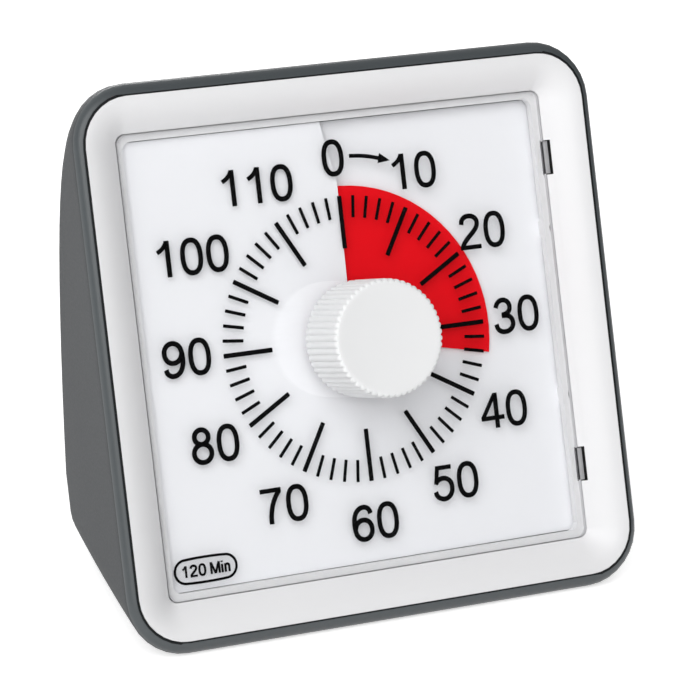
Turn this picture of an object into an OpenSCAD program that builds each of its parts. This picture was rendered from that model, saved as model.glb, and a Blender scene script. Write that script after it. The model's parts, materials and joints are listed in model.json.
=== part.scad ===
// Visual countdown timer: a wedge-shaped desk clock whose red disc winds out
// through a slit in a screw-shaped dial plate as the knob is turned.
// Millimetres. +Z up, the face looks towards -Y and leans back.
// Inside on_face() the axes are x right, y up the face, z out of the face,
// with the origin at the dial centre on the back of the lens.

/* [Front] */
// Width of the front face
front_w = 79; // [78.5:0.1:82]
// Height of the front face, measured along its slope
front_h = 77.8; // [77.4:0.1:80]
// Corner radius of the front face
front_r = 8.4; // [7.5:0.1:10]
// Width of the housing's rounded rim around the white frame
rim_w = 1.75; // [1.5:0.05:2]
// How far the face leans back, in degrees
lean = 16; // [14:0.5:17]
// How far the middle of the face lies above the dial centre, less than 0 where it lies below
dial_drop = -0.4; // [-0.8:0.1:0.4]

/* [Body] */
// Depth of the housing, square to the face
body_d = 45; // [44.5:0.5:49]
// Room from each end of the cell to the outside of the housing at the back
cell_side = 5; // [4.8:0.1:7]
// Depth of the level top before the back starts to fall
crown_d = 3.5; // [3.2:0.1:6]
// Depth of the point that the curve of the back bends towards
shoulder_d = 23.5; // [23:0.5:27]
// How far that point lies below the top of the face
shoulder_drop = 4.4; // [3:0.1:4.8]
// Height of the blunt lower end of the back
tail_h = 14; // [13.6:0.1:16]
// Corner radius of the housing at the back
tail_r = 6; // [5:0.1:6.8]
// Radius of the edge around the blunt end
tail_edge = 1.5; // [1:0.1:2.5]
// Wall thickness of the housing
wall = 2; // [1.6:0.1:2.4]

/* [Frame and lens] */
// Height of the rim's crest above the printed face
crest_z = 3.9; // [3.7:0.05:4.1]
// Distance from each side of the front to the lens window
window_rim = 7.1; // [7:0.1:7.5]
// Height of the lens window
window_h = 64.2; // [63.6:0.1:64.8]
// Corner radius of the lens window
window_r = 1.3; // [0.8:0.1:2]
// Width of the ledge that the lens lies on
ledge_w = 1.1; // [0.9:0.05:1.2]
// Thickness of that ledge
ledge_t = 1.2; // [1:0.1:1.3]
// Thickness of the lens
lens_t = 1; // [0.8:0.1:1.2]
// How strongly the sloping face of the frame is rounded
dish_power = 1.8; // [1.2:0.1:2.5]
// Width of each snap tab of the lens
tab_w = 4.6; // [3:0.1:5]
// Height of the snap tabs above and below the dial centre
tab_y = 22; // [19:0.5:24]

/* [Dial and disc] */
// Rise of the dial plate over one turn, also the travel of the disc
pitch = 1.2; // [1.1:0.05:1.3]
// Thickness of the dial plate
plate_t = 0.4; // [0.3:0.05:0.5]
// Thickness of the red disc
disc_t = 0.3; // [0.2:0.05:0.4]
// Radius of the red disc
disc_r = 21.4; // [19:0.1:22]
// Radius of the disc's hub
hub_r = 4.2; // [3.8:0.1:4.4]
// Minutes of one full turn
dial_minutes = 120; // [60:60:120]
// Minutes that the disc shows
shown_minutes = 34; // [5:1:55]
// Turn of the slit from straight up, in degrees
slit_turn = 1; // [-2:0.5:3]

/* [Knob] */
// Radius of the knob over its ribs
knob_r = 8.2; // [7.5:0.1:10]
// Height of the knob's front above the printed face
knob_z = 11.7; // [10:0.1:14]
// Gap between the lens and the knob
knob_gap = 0.75; // [0.5:0.05:1.2]
// Number of ribs around the knob
knob_ribs = 54; // [36:1:60]
// Depth of the grooves between the ribs
rib_depth = 0.35; // [0.2:0.05:0.5]
// Radius of the knob's front edge
knob_edge = 0.7; // [0.4:0.1:1.2]
// Radius of the shaft that the knob sits on
shaft_r = 1.5; // [1.4:0.05:1.6]

/* [Movement] */
// Width of the movement case
case_w = 38; // [37.6:0.1:39]
// Height of the movement case
case_h = 34; // [33.6:0.1:34.4]
// Depth of the movement case with its cover
case_d = 10.9; // [10.8:0.1:11.4]
// Gear module of the train
gear_m = 0.35; // [0.34:0.005:0.355]
// Backlash of each gear mesh, measured on the pitch circle
backlash = 0.08; // [0.06:0.01:0.12]
// Radial gap of a pivot in its hole
run_gap = 0.05; // [0.03:0.01:0.08]

/* [Battery and controls] */
// Diameter of the round cell
cell_dia = 14.2; // [13.8:0.1:14.4]
// Length of the round cell with its nub
cell_len = 50.2; // [49.2:0.1:50.5]
// Height of the battery door's hinge above the table
door_z = 5.6; // [5.2:0.1:6]
// Height of the battery door
door_h = 22; // [20:0.5:23]
// How far the battery door is wider than the cell at each end
door_over = 1.4; // [1:0.1:1.6]
// Radius of the door's hinge pins
pin_r = 0.8; // [0.7:0.05:0.85]
// Travel of the volume switch to each side
switch_travel = 2; // [1.5:0.1:2.5]
// Diameter of the buzzer
buzzer_dia = 14; // [12:0.5:15]
// Diameter of the screw shanks
screw_dia = 2; // [1.8:0.1:2.2]
// Gap between parts that only lie beside each other
gap = 0.15; // [0.1:0.01:0.2]

/* [Hidden] */
$fn = 48;
eps = 0.01;
arc_n = 8;

// Places that follow from the sizes above
face_top = dial_drop + front_h / 2;
face_foot = dial_drop - front_h / 2;
tail_top = base_y(body_d) + tail_h;
frame_w = front_w - 2 * rim_w;
frame_h = front_h - 2 * rim_w;
frame_r = front_r - rim_w;
flange_t = 3;
window_w = front_w - 2 * window_rim;
open_w = window_w - 2 * ledge_w;
open_h = window_h - 2 * ledge_w;

// World y of a point of the face frame, less dial_y
function reach(y, z) = y * sin(lean) - z * cos(lean);

// ---- the housing's sections, each in a plane parallel to the face ----

side_draw = ((front_w - cell_len) / 2 - cell_side) / body_d;
function half_w(d) = front_w / 2 - side_draw * d;
function base_y(d) = face_foot + tan(lean) * (d - rim_w);

// The back follows a curve from the crown over the shoulder to the tail
bend_d = crown_d - 2 * shoulder_d + body_d;
rise_d = 2 * (shoulder_d - crown_d);
bend_y = face_top - 2 * (face_top - shoulder_drop) + tail_top;
rise_y = -2 * shoulder_drop;
function back_s(d) =
    let (q = max(0, d - crown_d)) 2 * q / (rise_d + sqrt(rise_d * rise_d + 4 * bend_d * q));
function top_y(d) = let (s = back_s(d)) face_top + rise_y * s + bend_y * s * s;
function back_fall(d) =
    let (s = back_s(d)) -(rise_y + 2 * bend_y * s) / (rise_d + 2 * bend_d * s);
function back_angle(d) = 90 - atan(back_fall(d));

// Rim at the front and blunt edge at the back are quarter rounds
function edge_inset(d) =
    d < rim_w ? rim_w - sqrt(max(0, rim_w * rim_w - pow(rim_w - d, 2)))
    : d > body_d - tail_edge
        ? tail_edge - sqrt(max(0, tail_edge * tail_edge - pow(d - body_d + tail_edge, 2)))
        : 0;
function corner_r(d) = let (s = pow(1 - min(1, d / body_d), 2)) front_r * s + tail_r * (1 - s);

function quarter(r, cx, cy, a) =
    [for (i = [0 : arc_n]) [cx + r * cos(a + 90 * i / arc_n), cy + r * sin(a + 90 * i / arc_n)]];
function round_box(hw, low, high, r) = concat(
    quarter(r, hw - r, high - r, 0), quarter(r, r - hw, high - r, 90),
    quarter(r, r - hw, low + r, 180), quarter(r, hw - r, low + r, 270));

// Outline of the housing at depth d, drawn in by t on every side
function section(d, t, inset) =
    let (hw = half_w(d) - inset - t,
         low = base_y(max(d, rim_w)) + inset + t / cos(lean),
         high = top_y(d) - inset - t * sqrt(1 + pow(back_fall(d), 2)),
         r = max(1, corner_r(d) - inset - t))
    round_box(hw, low, high, min(r, hw - eps, (high - low) / 2 - eps));

function quarter_steps(n) = [for (i = [0 : n]) 1 - cos(90 * i / n)];
function outer_steps() = concat(
    [for (q = quarter_steps(5)) rim_w * q],
    [crown_d],
    [for (i = [1 : 13]) crown_d + (body_d - tail_edge - crown_d) * i / 13],
    [for (i = [1 : 4]) body_d - tail_edge + tail_edge * sin(90 * i / 4)]);

// The housing is centred over the origin and stands on the table
nose_y = reach(face_foot + rim_w, crest_z - rim_w) - rim_w;
tail_y = max([for (d = outer_steps()) reach(top_y(d) - edge_inset(d), crest_z - d)]);
dial_y = -(nose_y + tail_y) / 2;
dial_z = -(face_foot * cos(lean) + (crest_z - rim_w) * sin(lean));

// Closed skin over rings that all have the same number of points; an end that
// isn't flat is closed with strips from its first points to its last ones
module skin(rings, strips = false) {
    n = len(rings[0]);
    m = len(rings);
    points = [for (ring = rings) for (p = ring) p];
    side = [for (i = [0 : m - 2]) for (j = [0 : n - 1])
        let (k = (j + 1) % n)
        each [[i * n + j, i * n + k, (i + 1) * n + k], [i * n + j, (i + 1) * n + k, (i + 1) * n + j]]];
    last = (m - 1) * n;
    caps = strips
        ? [for (j = [0 : n / 2 - 2]) let (k = n - 1 - j)
            each [[k, k - 1, j + 1, j], [last + j, last + j + 1, last + k - 1, last + k]]]
        : [[for (j = [n - 1 : -1 : 0]) j], [for (j = [0 : n - 1]) last + j]];
    polyhedron(points, concat(side, caps));
}
function at_z(outline, z) = [for (p = outline) [p[0], p[1], z]];

module body_outside() {
    skin([for (d = outer_steps()) at_z(section(d, 0, edge_inset(d)), crest_z - d)]);
}

// The hollow, from the seat of the frame back, with t of wall around it
hollow_n = 11;
module body_hollow(t) {
    first = flange_t - eps;
    last = body_d - t;
    skin([for (i = [0 : hollow_n])
        let (d = first + (last - first) * i / hollow_n) at_z(section(d, t, 0), crest_z - d)]);
}

// ---- placing ----

module on_face() translate([0, dial_y, dial_z]) rotate([90 - lean, 0, 0]) children();
module upright() rotate([lean - 90, 0, 0]) translate([0, -dial_y, -dial_z]) children();

// On the curved back at depth d, with z out of the wall and y up it
module on_back(d, x) translate([x, top_y(d), crest_z - d])
    rotate([back_angle(d) - 180, 0, 0]) rotate([0, 0, 180]) children();

module plate(w, h, r, z0, z1) {
    translate([0, dial_drop, z0]) linear_extrude(z1 - z0) polygon(round_box(w / 2, -h / 2, h / 2, r));
}
module bar(x0, x1, y0, y1, z0, z1) translate([x0, y0, z0]) cube([x1 - x0, y1 - y0, z1 - z0]);
module block(w, h, z0, z1) bar(-w / 2, w / 2, -h / 2, h / 2, z0, z1);
// Plate that lies in the housing with t of play all around
module slab(z0, z1, t) translate([0, 0, z0]) linear_extrude(z1 - z0)
    polygon(section(crest_z - z0, wall + t, 0));
module post(x, y, r, z0, z1) translate([x, y, z0]) cylinder(r = r, h = z1 - z0);
module four(x, y) for (sx = [-1, 1]) for (sy = [-1, 1]) translate([sx * x, sy * y, 0]) children();

// ---- levels behind the lens ----

lens_gap = 0.25;
plate_low = -(1.5 * pitch + disc_t / 2 + lens_gap);
function plate_mid(a) = plate_low + pitch * a / 360;
function disc_mid(a) = plate_mid(a) + pitch / 2;
shown_turn = 360 * shown_minutes / dial_minutes;
chassis_z = plate_low - pitch / 2 - disc_t / 2 - 0.65;
chassis_t = 1.2;
case_z = chassis_z - chassis_t;
case_wall = 1.2;
cover_z = case_z - case_d + case_wall;
room_z = case_z - case_wall;

// ---- fasteners ----

pilot = 0.05;
boss_r = 2.1;
boss_in = 2.75;
boss_x = half_w(crest_z - chassis_z) - wall - boss_in;
boss_y = 12;
screw_head_r = 1.8;
screw_head_t = 1.2;
stake_in = 3.8;
stake_x = open_w / 2 - stake_in;
stake_y = 20;
stake_r = 0.9;
well_x = 24;
well_y = 24;
well_r = 2.3;
well_wall = 1;
well_floor = 3;
well_z = case_z - well_floor;
screw_end = chassis_z - 0.2;

// Screw with its head behind z = 0 and its shank towards +z
module screw(length) difference() {
    rotate_extrude() polygon([[0, -screw_head_t], [screw_head_r * 0.8, -screw_head_t],
        [screw_head_r, -screw_head_t * 0.6], [screw_head_r, 0], [screw_dia / 2, 0],
        [screw_dia / 2, length - screw_dia / 3], [screw_dia / 6, length], [0, length]]);
    for (a = [0, 90]) rotate(a) translate([-screw_head_r * 0.6, -0.2, -screw_head_t - eps])
        cube([screw_head_r * 1.2, 0.4, 0.6]);
}
module shank_hole(z0, z1) post(0, 0, screw_dia / 2 + pilot, z0, z1);
module two_wells() for (s = [-1, 1]) translate([s * well_x, well_y, 0]) children();

// ---- housing ----

frame_fit = 0.3;
tongue_x = 18;
tongue_w = 6;
tongue_reach = 0.9;
spring_room = 5;
tray_x = (cell_len + spring_room) / 2;
tray_wall = 1.5;
cell_r = cell_dia / 2;
cell_d = body_d - wall - cell_r - 1.4;
tray_gap = 0.3;
tray_d = cell_d - cell_r - tray_gap - tray_wall;
cell_y = base_y(cell_d) + wall / cos(lean) + cell_r + 0.8;
cell_z = crest_z - cell_d;
tray_top = cell_y + cell_r;
speaker_d = 25;
speaker_slots = 5;
slot_step = 2;
slot_half = 5.5;
slot_r = 0.5;
buzzer_t = 3;
buzzer_wall = 1.2;
switch_over = 3.8;
switch_w = 12;
switch_h = 5;
switch_t = 3.5;
switch_wall = 1.5;
cap_w = 3.2;
cap_h = 2.2;
door_hang = 0.3;
hinge_sill = 0.6;
pin_reach = 1;
door_w = cell_len + 2 * door_over;

// Depth at which the back crosses a height above the table, found by halving
function back_height(d) = dial_z + top_y(d) * cos(lean) + (crest_z - d) * sin(lean);
function depth_at(height, a, b, n) = let (c = (a + b) / 2)
    n == 0 ? c : back_height(c) > height ? depth_at(height, c, b, n - 1) : depth_at(height, a, c, n - 1);
switch_d = depth_at(door_z + door_h + switch_over, crown_d, body_d, 20);

// World y of the middle of the door's hinge pins
hinge_y = dial_y + reach(base_y(body_d), crest_z - body_d) + door_z * tan(lean) - pin_r - door_hang;

module door_cut(clear, sill) translate([-door_w / 2 - clear, hinge_y - 12, door_z + sill])
    cube([door_w + 2 * clear, 30, door_h + clear - sill]);
module hinge_line(r, length) translate([-length / 2, hinge_y, door_z]) rotate([0, 90, 0])
    cylinder(r = r, h = length);

// Tongues that hook the foot of the frame into the housing
module tongues(clear) for (s = [-1, 1]) {
    low = base_y(crest_z + ledge_t) + (wall + frame_fit) / cos(lean);
    bar(s * tongue_x - tongue_w / 2 - clear, s * tongue_x + tongue_w / 2 + clear,
        low - tongue_reach - clear, low + 1, -ledge_t - clear, clear);
}

module sound_slot(half) translate([0, 0, -wall - 1]) linear_extrude(wall + 3) union() {
    square([2 * half, 2 * slot_r], center = true);
    for (s = [-1, 1]) translate([s * half, 0]) circle(r = slot_r);
}

module housing_ribs() {
    back = crest_z - body_d;
    // End walls and front wall of the battery tray
    for (x = [-tray_x - tray_wall, tray_x])
        bar(x, x + tray_wall, face_foot, tray_top, back, crest_z - tray_d);
    bar(-tray_x - tray_wall, tray_x + tray_wall, face_foot, tray_top,
        crest_z - tray_d - tray_wall, crest_z - tray_d);
    two_wells() post(0, 0, well_r + well_wall, back, case_z);
    on_back(speaker_d, 0) post(0, 0, buzzer_dia / 2 + buzzer_wall, -wall - buzzer_t, 1);
    on_back(switch_d, 0) block(switch_w + 2 * switch_wall, switch_h + 2 * switch_wall, -wall - switch_t, 1);
}

module rear_housing() color([0.36, 0.38, 0.40]) on_face() difference() {
    body_outside();
    plate(frame_w + gap, frame_h + gap, frame_r, crest_z - flange_t, crest_z + 1);
    difference() {
        body_hollow(wall);
        housing_ribs();
    }
    tongues(gap);
    two_wells() {
        post(0, 0, well_r, crest_z - body_d, well_z);
        shank_hole(crest_z - body_d, case_z + 1);
    }
    on_back(speaker_d, 0) {
        post(0, 0, buzzer_dia / 2 + gap, -wall - buzzer_t - 1, -wall);
        for (i = [0 : speaker_slots - 1]) let (k = i - (speaker_slots - 1) / 2)
            translate([0, slot_step * k, 0]) sound_slot(slot_half - 0.9 * abs(k));
    }
    on_back(switch_d, 0) {
        block(switch_w + 2 * gap, switch_h + 2 * gap, -wall - switch_t - 1, -wall);
        block(cap_w + 2 * switch_travel + 2 * gap, cap_h + 2 * gap, -wall - 1, 3);
    }
    upright() {
        door_cut(gap, -gap);
        hinge_line(pin_r + 0.45, door_w + 2 * gap);
        hinge_line(pin_r + run_gap, door_w + 2 * pin_reach + 0.4);
    }
}

finger_w = 14;
finger_drop = 3;
module battery_door() color([0.35, 0.37, 0.39]) on_face() {
    difference() {
        intersection() {
            body_outside();
            upright() door_cut(0, hinge_sill);
        }
        body_hollow(wall);
        // Finger groove under the upper edge
        on_back(depth_at(door_z + door_h - finger_drop, crown_d, body_d, 20), 0)
            translate([-finger_w / 2, 0, 0.1]) rotate([0, 90, 0]) cylinder(r = 0.8, h = finger_w);
    }
    upright() hinge_line(pin_r + 0.1, door_w - 0.4);
    upright() hinge_line(pin_r, door_w + 2 * pin_reach);
}

// ---- front frame and lens ----

lens_fit = 0.15;
notch_in = 0.3;
notch_out = 0.8;
leg_t = 0.7;
hook_t = 0.95;
hook_out = 0.5;
rim_land = 0.12;
slip_t = 0.45;
slip_out = 0.6;
leg_z = -ledge_t - gap - hook_t;

// Two tabs of the lens on the left (side -1) slip under the frame, and two on the right snap in
module at_tabs(side) for (sy = [-1, 1]) translate([0, sy * tab_y, 0]) mirror([side < 0 ? 1 : 0, 0, 0])
    children();

// Hollow of the sloping face, from the outer edge down to the lens
module dish() {
    outer = frame_w / 2 - rim_land;
    high = frame_h / 2 - rim_land;
    function step(t) = let (hw = outer + (window_w / 2 - outer) * t, hh = high + (window_h / 2 - high) * t)
        round_box(hw, dial_drop - hh, dial_drop + hh, frame_r - rim_land + (window_r - frame_r + rim_land) * t);
    skin(concat([at_z(step(0), crest_z + 1)],
        [for (i = [0 : 6]) at_z(step(i / 6), crest_z - (crest_z - lens_t) * pow(i / 6, dish_power))]));
}

module front_frame() color([0.88, 0.89, 0.90]) on_face() difference() {
    union() {
        plate(frame_w, frame_h, frame_r, crest_z - flange_t, crest_z);
        slab(-ledge_t, crest_z - flange_t + eps, frame_fit);
        four(boss_x, boss_y) post(0, 0, boss_r, chassis_z, eps - ledge_t);
        tongues(0);
    }
    dish();
    plate(window_w, window_h, window_r, 0, crest_z);
    plate(open_w, open_h, window_r, -ledge_t - 1, crest_z);
    at_tabs(1) bar(window_w / 2 - notch_in, window_w / 2 + notch_out,
        -tab_w / 2 - gap, tab_w / 2 + gap, -ledge_t - 1, crest_z);
    at_tabs(-1) bar(window_w / 2 - notch_in, window_w / 2 + slip_out,
        -tab_w / 2 - gap, tab_w / 2 + gap, 0, slip_t + gap);
    four(boss_x, boss_y) shank_hole(chassis_z - 1, 0.2);
}

module lens() color([0.85, 0.90, 0.95, 0.3]) on_face() difference() {
    union() {
        plate(window_w - 2 * lens_fit, window_h - 2 * lens_fit, window_r, 0, lens_t);
        at_tabs(-1) bar(window_w / 2 - lens_fit - eps, window_w / 2 - lens_fit + slip_out,
            -tab_w / 2, tab_w / 2, 0, slip_t);
        at_tabs(1) {
            bar(window_w / 2 - lens_fit - eps, window_w / 2 - lens_fit + leg_t,
                -tab_w / 2, tab_w / 2, leg_z, lens_t);
            bar(window_w / 2 - lens_fit - eps, window_w / 2 - lens_fit + leg_t + hook_out,
                -tab_w / 2, tab_w / 2, leg_z, leg_z + hook_t);
        }
    }
    post(0, 0, shaft_r + 0.9, -1, lens_t + 1);
}

// ---- dial plate and red disc, two matched screw surfaces ----

spiral_n = 72;
slit_wide = 0.3;
slit_bend_r = 22;
slit_lean = 6.3;
dial_w = open_w - 0.5;
dial_h = open_h - 0.4;
skirt_t = 1;
hub_gap = 0.7;
hub_reach = 0.29;

function turned(r, a, z) = [r * sin(a), r * cos(a), z];

// Sheet that rises clockwise as a screw; radii[k] starts at the turn starts[k]
module spiral(radii, starts, sweep, lift, t, floor_z) {
    m = len(radii) - 1;
    function mid(a) = plate_mid(a) + lift;
    skin([for (i = [0 : spiral_n]) let (q = sweep * i / spiral_n) concat(
        [for (k = [0 : m]) turned(radii[k], starts[k] + q, mid(starts[k] + q) + t / 2)],
        [for (k = [m : -1 : 0]) turned(radii[k], starts[k] + q,
            is_undef(floor_z) ? mid(starts[k] + q) - t / 2 : floor_z)])], true);
}

module dial_plate() color([0.93, 0.93, 0.94]) on_face() {
    corner_reach = dial_w * 0.745;
    starts = [slit_turn, slit_turn, slit_turn - slit_lean];
    intersection() {
        union() {
            spiral([hub_r + hub_gap, slit_bend_r, corner_reach], starts, 360 - slit_wide, 0, plate_t);
            difference() {
                spiral([slit_bend_r, corner_reach], [starts[1], starts[2]], 360 - slit_wide, 0, 0, chassis_z);
                plate(dial_w - 2 * skirt_t, dial_h - 2 * skirt_t, 0.5, chassis_z - 1, 1);
            }
        }
        plate(dial_w, dial_h, 0.8, chassis_z - 1, 1);
    }
    for (sx = [-1, 1]) for (sy = [-1, 1]) let (a = atan2(sx * stake_x, sy * stake_y))
        post(sx * stake_x, sy * stake_y, stake_r, case_z + 0.1, plate_mid(a < 0 ? a + 360 : a));
}

// Shaft with two flats, which drives the disc and lets it slide
flat_x = 1.2;
module flats(clear, z0, z1) intersection() {
    post(0, 0, shaft_r + clear, z0, z1);
    block(2 * (flat_x + clear), 2 * shaft_r + 1, z0, z1);
}

module red_disc() color([0.84, 0.02, 0.09]) on_face() difference() {
    low = disc_mid(shown_turn - 360) - hub_reach;
    high = disc_mid(shown_turn) + disc_t / 2 + 0.06;
    union() {
        spiral([hub_r - 0.5, disc_r], [for (i = [0 : 1]) shown_turn - 360 + slit_wide],
            360 - slit_wide, pitch / 2, disc_t);
        post(0, 0, hub_r, low, high);
    }
    flats(run_gap, low - 1, high + 1);
}

// ---- knob, shaft and clutch ----

knob_low = lens_t + knob_gap;
knob_wall = 1.3;
knob_cap = 1.8;
knob_boss_r = 3.2;
shaft_top = knob_z - knob_cap - 0.1;
flat_low = chassis_z + 0.25;
collar_r = 2.4;
collar_t = 0.45;
arbor_r = 1.2;
pivot_r = 0.5;
pivot_len = 0.75;
shake = 0.05;
wheel_z = room_z - shake - collar_t - shake;
wheel_t = 1;
washer_t = 0.4;

function rib_point(i, k) = let (a = 360 * (i + k[0]) / knob_ribs) [(knob_r - k[1]) * cos(a), (knob_r - k[1]) * sin(a)];
module knob_ribs_outline() polygon([for (i = [0 : knob_ribs - 1])
    each [for (k = [[0, 0], [0.55, 0], [0.7, rib_depth], [0.85, rib_depth]]) rib_point(i, k)]]);

module knob() color([0.90, 0.91, 0.91]) on_face() difference() {
    intersection() {
        translate([0, 0, knob_low]) linear_extrude(knob_z - knob_low) knob_ribs_outline();
        rotate_extrude() polygon(concat([[0, knob_low], [knob_r + eps, knob_low]],
            [for (i = [0 : 6]) [knob_r - knob_edge + (knob_edge + eps) * cos(15 * i),
                knob_z - knob_edge + knob_edge * sin(15 * i)]], [[0, knob_z]]));
    }
    difference() {
        post(0, 0, knob_r - knob_wall, knob_low - 1, knob_z - knob_cap);
        post(0, 0, knob_boss_r, knob_low - 1, knob_z);
    }
    flats(pilot, knob_low - 1, shaft_top + 0.1);
}

module shaft() color([0.70, 0.71, 0.73]) on_face() {
    flats(0, flat_low - eps, shaft_top);
    rotate_extrude() polygon([[0, flat_low], [shaft_r, flat_low], [shaft_r, room_z - shake],
        [collar_r, room_z - shake], [collar_r, room_z - shake - collar_t],
        [arbor_r, room_z - shake - collar_t], [arbor_r, cover_z + shake], [pivot_r, cover_z + shake],
        [pivot_r, cover_z - pivot_len], [0, cover_z - pivot_len]]);
}

module clutch_washer() color([0.80, 0.66, 0.30]) on_face() difference() {
    union() {
        post(0, 0, collar_r, wheel_z - wheel_t - shake - washer_t, wheel_z - wheel_t - shake);
        for (a = [0 : 120 : 240]) rotate(a)
            bar(0, collar_r + 1, -0.6, 0.6, wheel_z - wheel_t - shake - washer_t, wheel_z - wheel_t - shake);
    }
    post(0, 0, arbor_r + 0.02, wheel_z - wheel_t - 2, wheel_z);
}

// ---- chassis and movement case ----

module chassis_plate() color([0.72, 0.74, 0.76]) on_face() difference() {
    slab(case_z, chassis_z, 0.5);
    post(0, 0, shaft_r + run_gap, case_z - 1, chassis_z + 1);
    four(boss_x, boss_y) shank_hole(case_z - 1, chassis_z + 1);
    four(stake_x, stake_y) post(0, 0, stake_r + pilot, case_z - 1, chassis_z + 1);
    four(case_x, case_y) shank_hole(case_z - 1, chassis_z + 1);
    two_wells() shank_hole(case_z - 1, chassis_z + 1);
}

case_post_r = 1.9;
case_x = case_w / 2 - case_wall - 1.5;
case_y = case_h / 2 - case_wall - 1.5;
board_post_r = 1.2;
slot_low = -8.8;
slot_high = 1.8;
slot_depth = 2.8;

module pivot_holes(z0, z1) for (at = [second_at, third_at, rotor_at])
    post(at[0], at[1], pivot_r + run_gap, z0, z1);

module movement_case() color([0.16, 0.16, 0.17]) on_face() difference() {
    union() {
        difference() {
            block(case_w, case_h, cover_z, case_z);
            block(case_w - 2 * case_wall, case_h - 2 * case_wall, cover_z - 1, room_z);
        }
        four(case_x, case_y) post(0, 0, case_post_r, cover_z, room_z + eps);
        for (at = board_post) post(at[0], at[1], board_post_r, board_z, room_z + eps);
        for (at = stator_post) post(at[0], at[1], 0.9, stator_z, room_z + eps);
    }
    post(0, 0, shaft_r + run_gap, room_z - 1, case_z + 1);
    pivot_holes(room_z - 1, room_z + pivot_len + 0.1);
    four(case_x, case_y) shank_hole(cover_z - 1, case_z + 1);
    // Opening for the leads
    bar(case_w / 2 - case_wall - 0.5, case_w / 2 + 1, slot_low, slot_high, cover_z - 1, cover_z + slot_depth);
}

module movement_cover() color([0.20, 0.20, 0.21]) on_face() difference() {
    block(case_w, case_h, cover_z - case_wall, cover_z);
    post(0, 0, pivot_r + run_gap, cover_z - pivot_len - 0.1, cover_z + 1);
    pivot_holes(cover_z - pivot_len - 0.1, cover_z + 1);
    four(case_x, case_y) shank_hole(cover_z - 3, cover_z + 1);
}

// ---- gear train ----

pinion_n = 10;
centre_n = 50;
second_n = 40;
third_n = 30;
pressure = 25;
tooth_add = 0.8;
tooth_ded = 1.05;
second_turn = 205.2;
third_turn = 96.6;
rotor_turn = 45;
second_z = wheel_z - 1.85;
third_z = second_z - 1.6;
thin_wheel = 0.8;
mesh_over = 0.25;
rod_r = 0.7;

function mesh_gap(n) = gear_m * (n + pinion_n) / 2;
function away(at, r, a) = [at[0] + r * cos(a), at[1] + r * sin(a)];
second_at = away([0, 0], mesh_gap(centre_n), second_turn);
third_at = away(second_at, mesh_gap(second_n), third_turn);
rotor_at = away(third_at, mesh_gap(third_n), rotor_turn);

// Half the angle of a tooth at radius r
function inv(a) = tan(a) * 180 / PI - a;
function tooth_half(n, r) = let (pr = gear_m * n / 2, br = pr * cos(pressure))
    90 / n - backlash / 4 / pr * 180 / PI + inv(pressure) - inv(acos(min(1, br / r)));
function tooth(n, i) = let (pr = gear_m * n / 2, tip = pr + tooth_add * gear_m,
        root = pr - tooth_ded * gear_m, c = 360 * i / n)
    [for (k = [[root, -tooth_half(n, root)], [pr, -tooth_half(n, pr)], [tip, -tooth_half(n, tip)],
            [tip, tooth_half(n, tip)], [pr, tooth_half(n, pr)], [root, tooth_half(n, root)]])
        [k[0] * cos(c + k[1]), k[0] * sin(c + k[1])]];

// Gear with a tooth turned towards the angle a
module gear(at, n, a, z0, z1) translate([at[0], at[1], z0]) rotate(a) linear_extrude(z1 - z0)
    polygon([for (i = [0 : n - 1]) each tooth(n, i)]);
module wheel(at, n, a, z) gear(at, n, a, z - thin_wheel, z);
// Pinion that meets a wheel of thickness t at height z, lying at the angle a from that wheel
module pinion(at, a, z, t) gear(at, pinion_n, a + 180 + 180 / pinion_n, z - t - mesh_over, z + mesh_over);
module arbor(at) {
    post(at[0], at[1], rod_r, cover_z + shake, room_z - shake);
    post(at[0], at[1], pivot_r, cover_z - pivot_len, room_z + pivot_len);
}

module centre_wheel() color([0.85, 0.83, 0.75]) on_face() difference() {
    gear([0, 0], centre_n, second_turn, wheel_z - wheel_t, wheel_z);
    post(0, 0, arbor_r + run_gap, wheel_z - wheel_t - 1, wheel_z + 1);
    for (a = [36 : 72 : 324]) rotate(a) post(5.4, 0, 1.5, wheel_z - wheel_t - 1, wheel_z + 1);
}
module second_wheel() color([0.86, 0.84, 0.78]) on_face() {
    arbor(second_at);
    wheel(second_at, second_n, third_turn, second_z);
    pinion(second_at, second_turn, wheel_z, wheel_t);
}
module third_wheel() color([0.84, 0.82, 0.76]) on_face() {
    arbor(third_at);
    wheel(third_at, third_n, rotor_turn, third_z);
    pinion(third_at, third_turn, second_z, thin_wheel);
}

// ---- motor ----

magnet_r = 2.4;
magnet_t = 1.4;
magnet_z = third_z - thin_wheel - 0.8;
stator_z = magnet_z - 0.2;
stator_t = 1;
stator_r = 4.6;
arm_w = 1.6;
core_w = 1.4;
coil_away = 7.1;
coil_len = 11;
coil_above = 2.3;
coil_x0 = rotor_at[0] + coil_away;
coil_x1 = coil_x0 + coil_len;
coil_y = rotor_at[1] + coil_above;
coil_z = stator_z - stator_t / 2;
coil_r = 1.9;
flange_r = 2.1;
spool_r = 1.2;
spool_flange = 0.6;
arm_x1 = coil_x1 + 1.8;
arm_y = rotor_at[1] - 3;
stator_post = [[arm_x1 - 0.9, arm_y + arm_w / 2], [coil_x0 - 1.9, coil_y + 1.3]];

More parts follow.
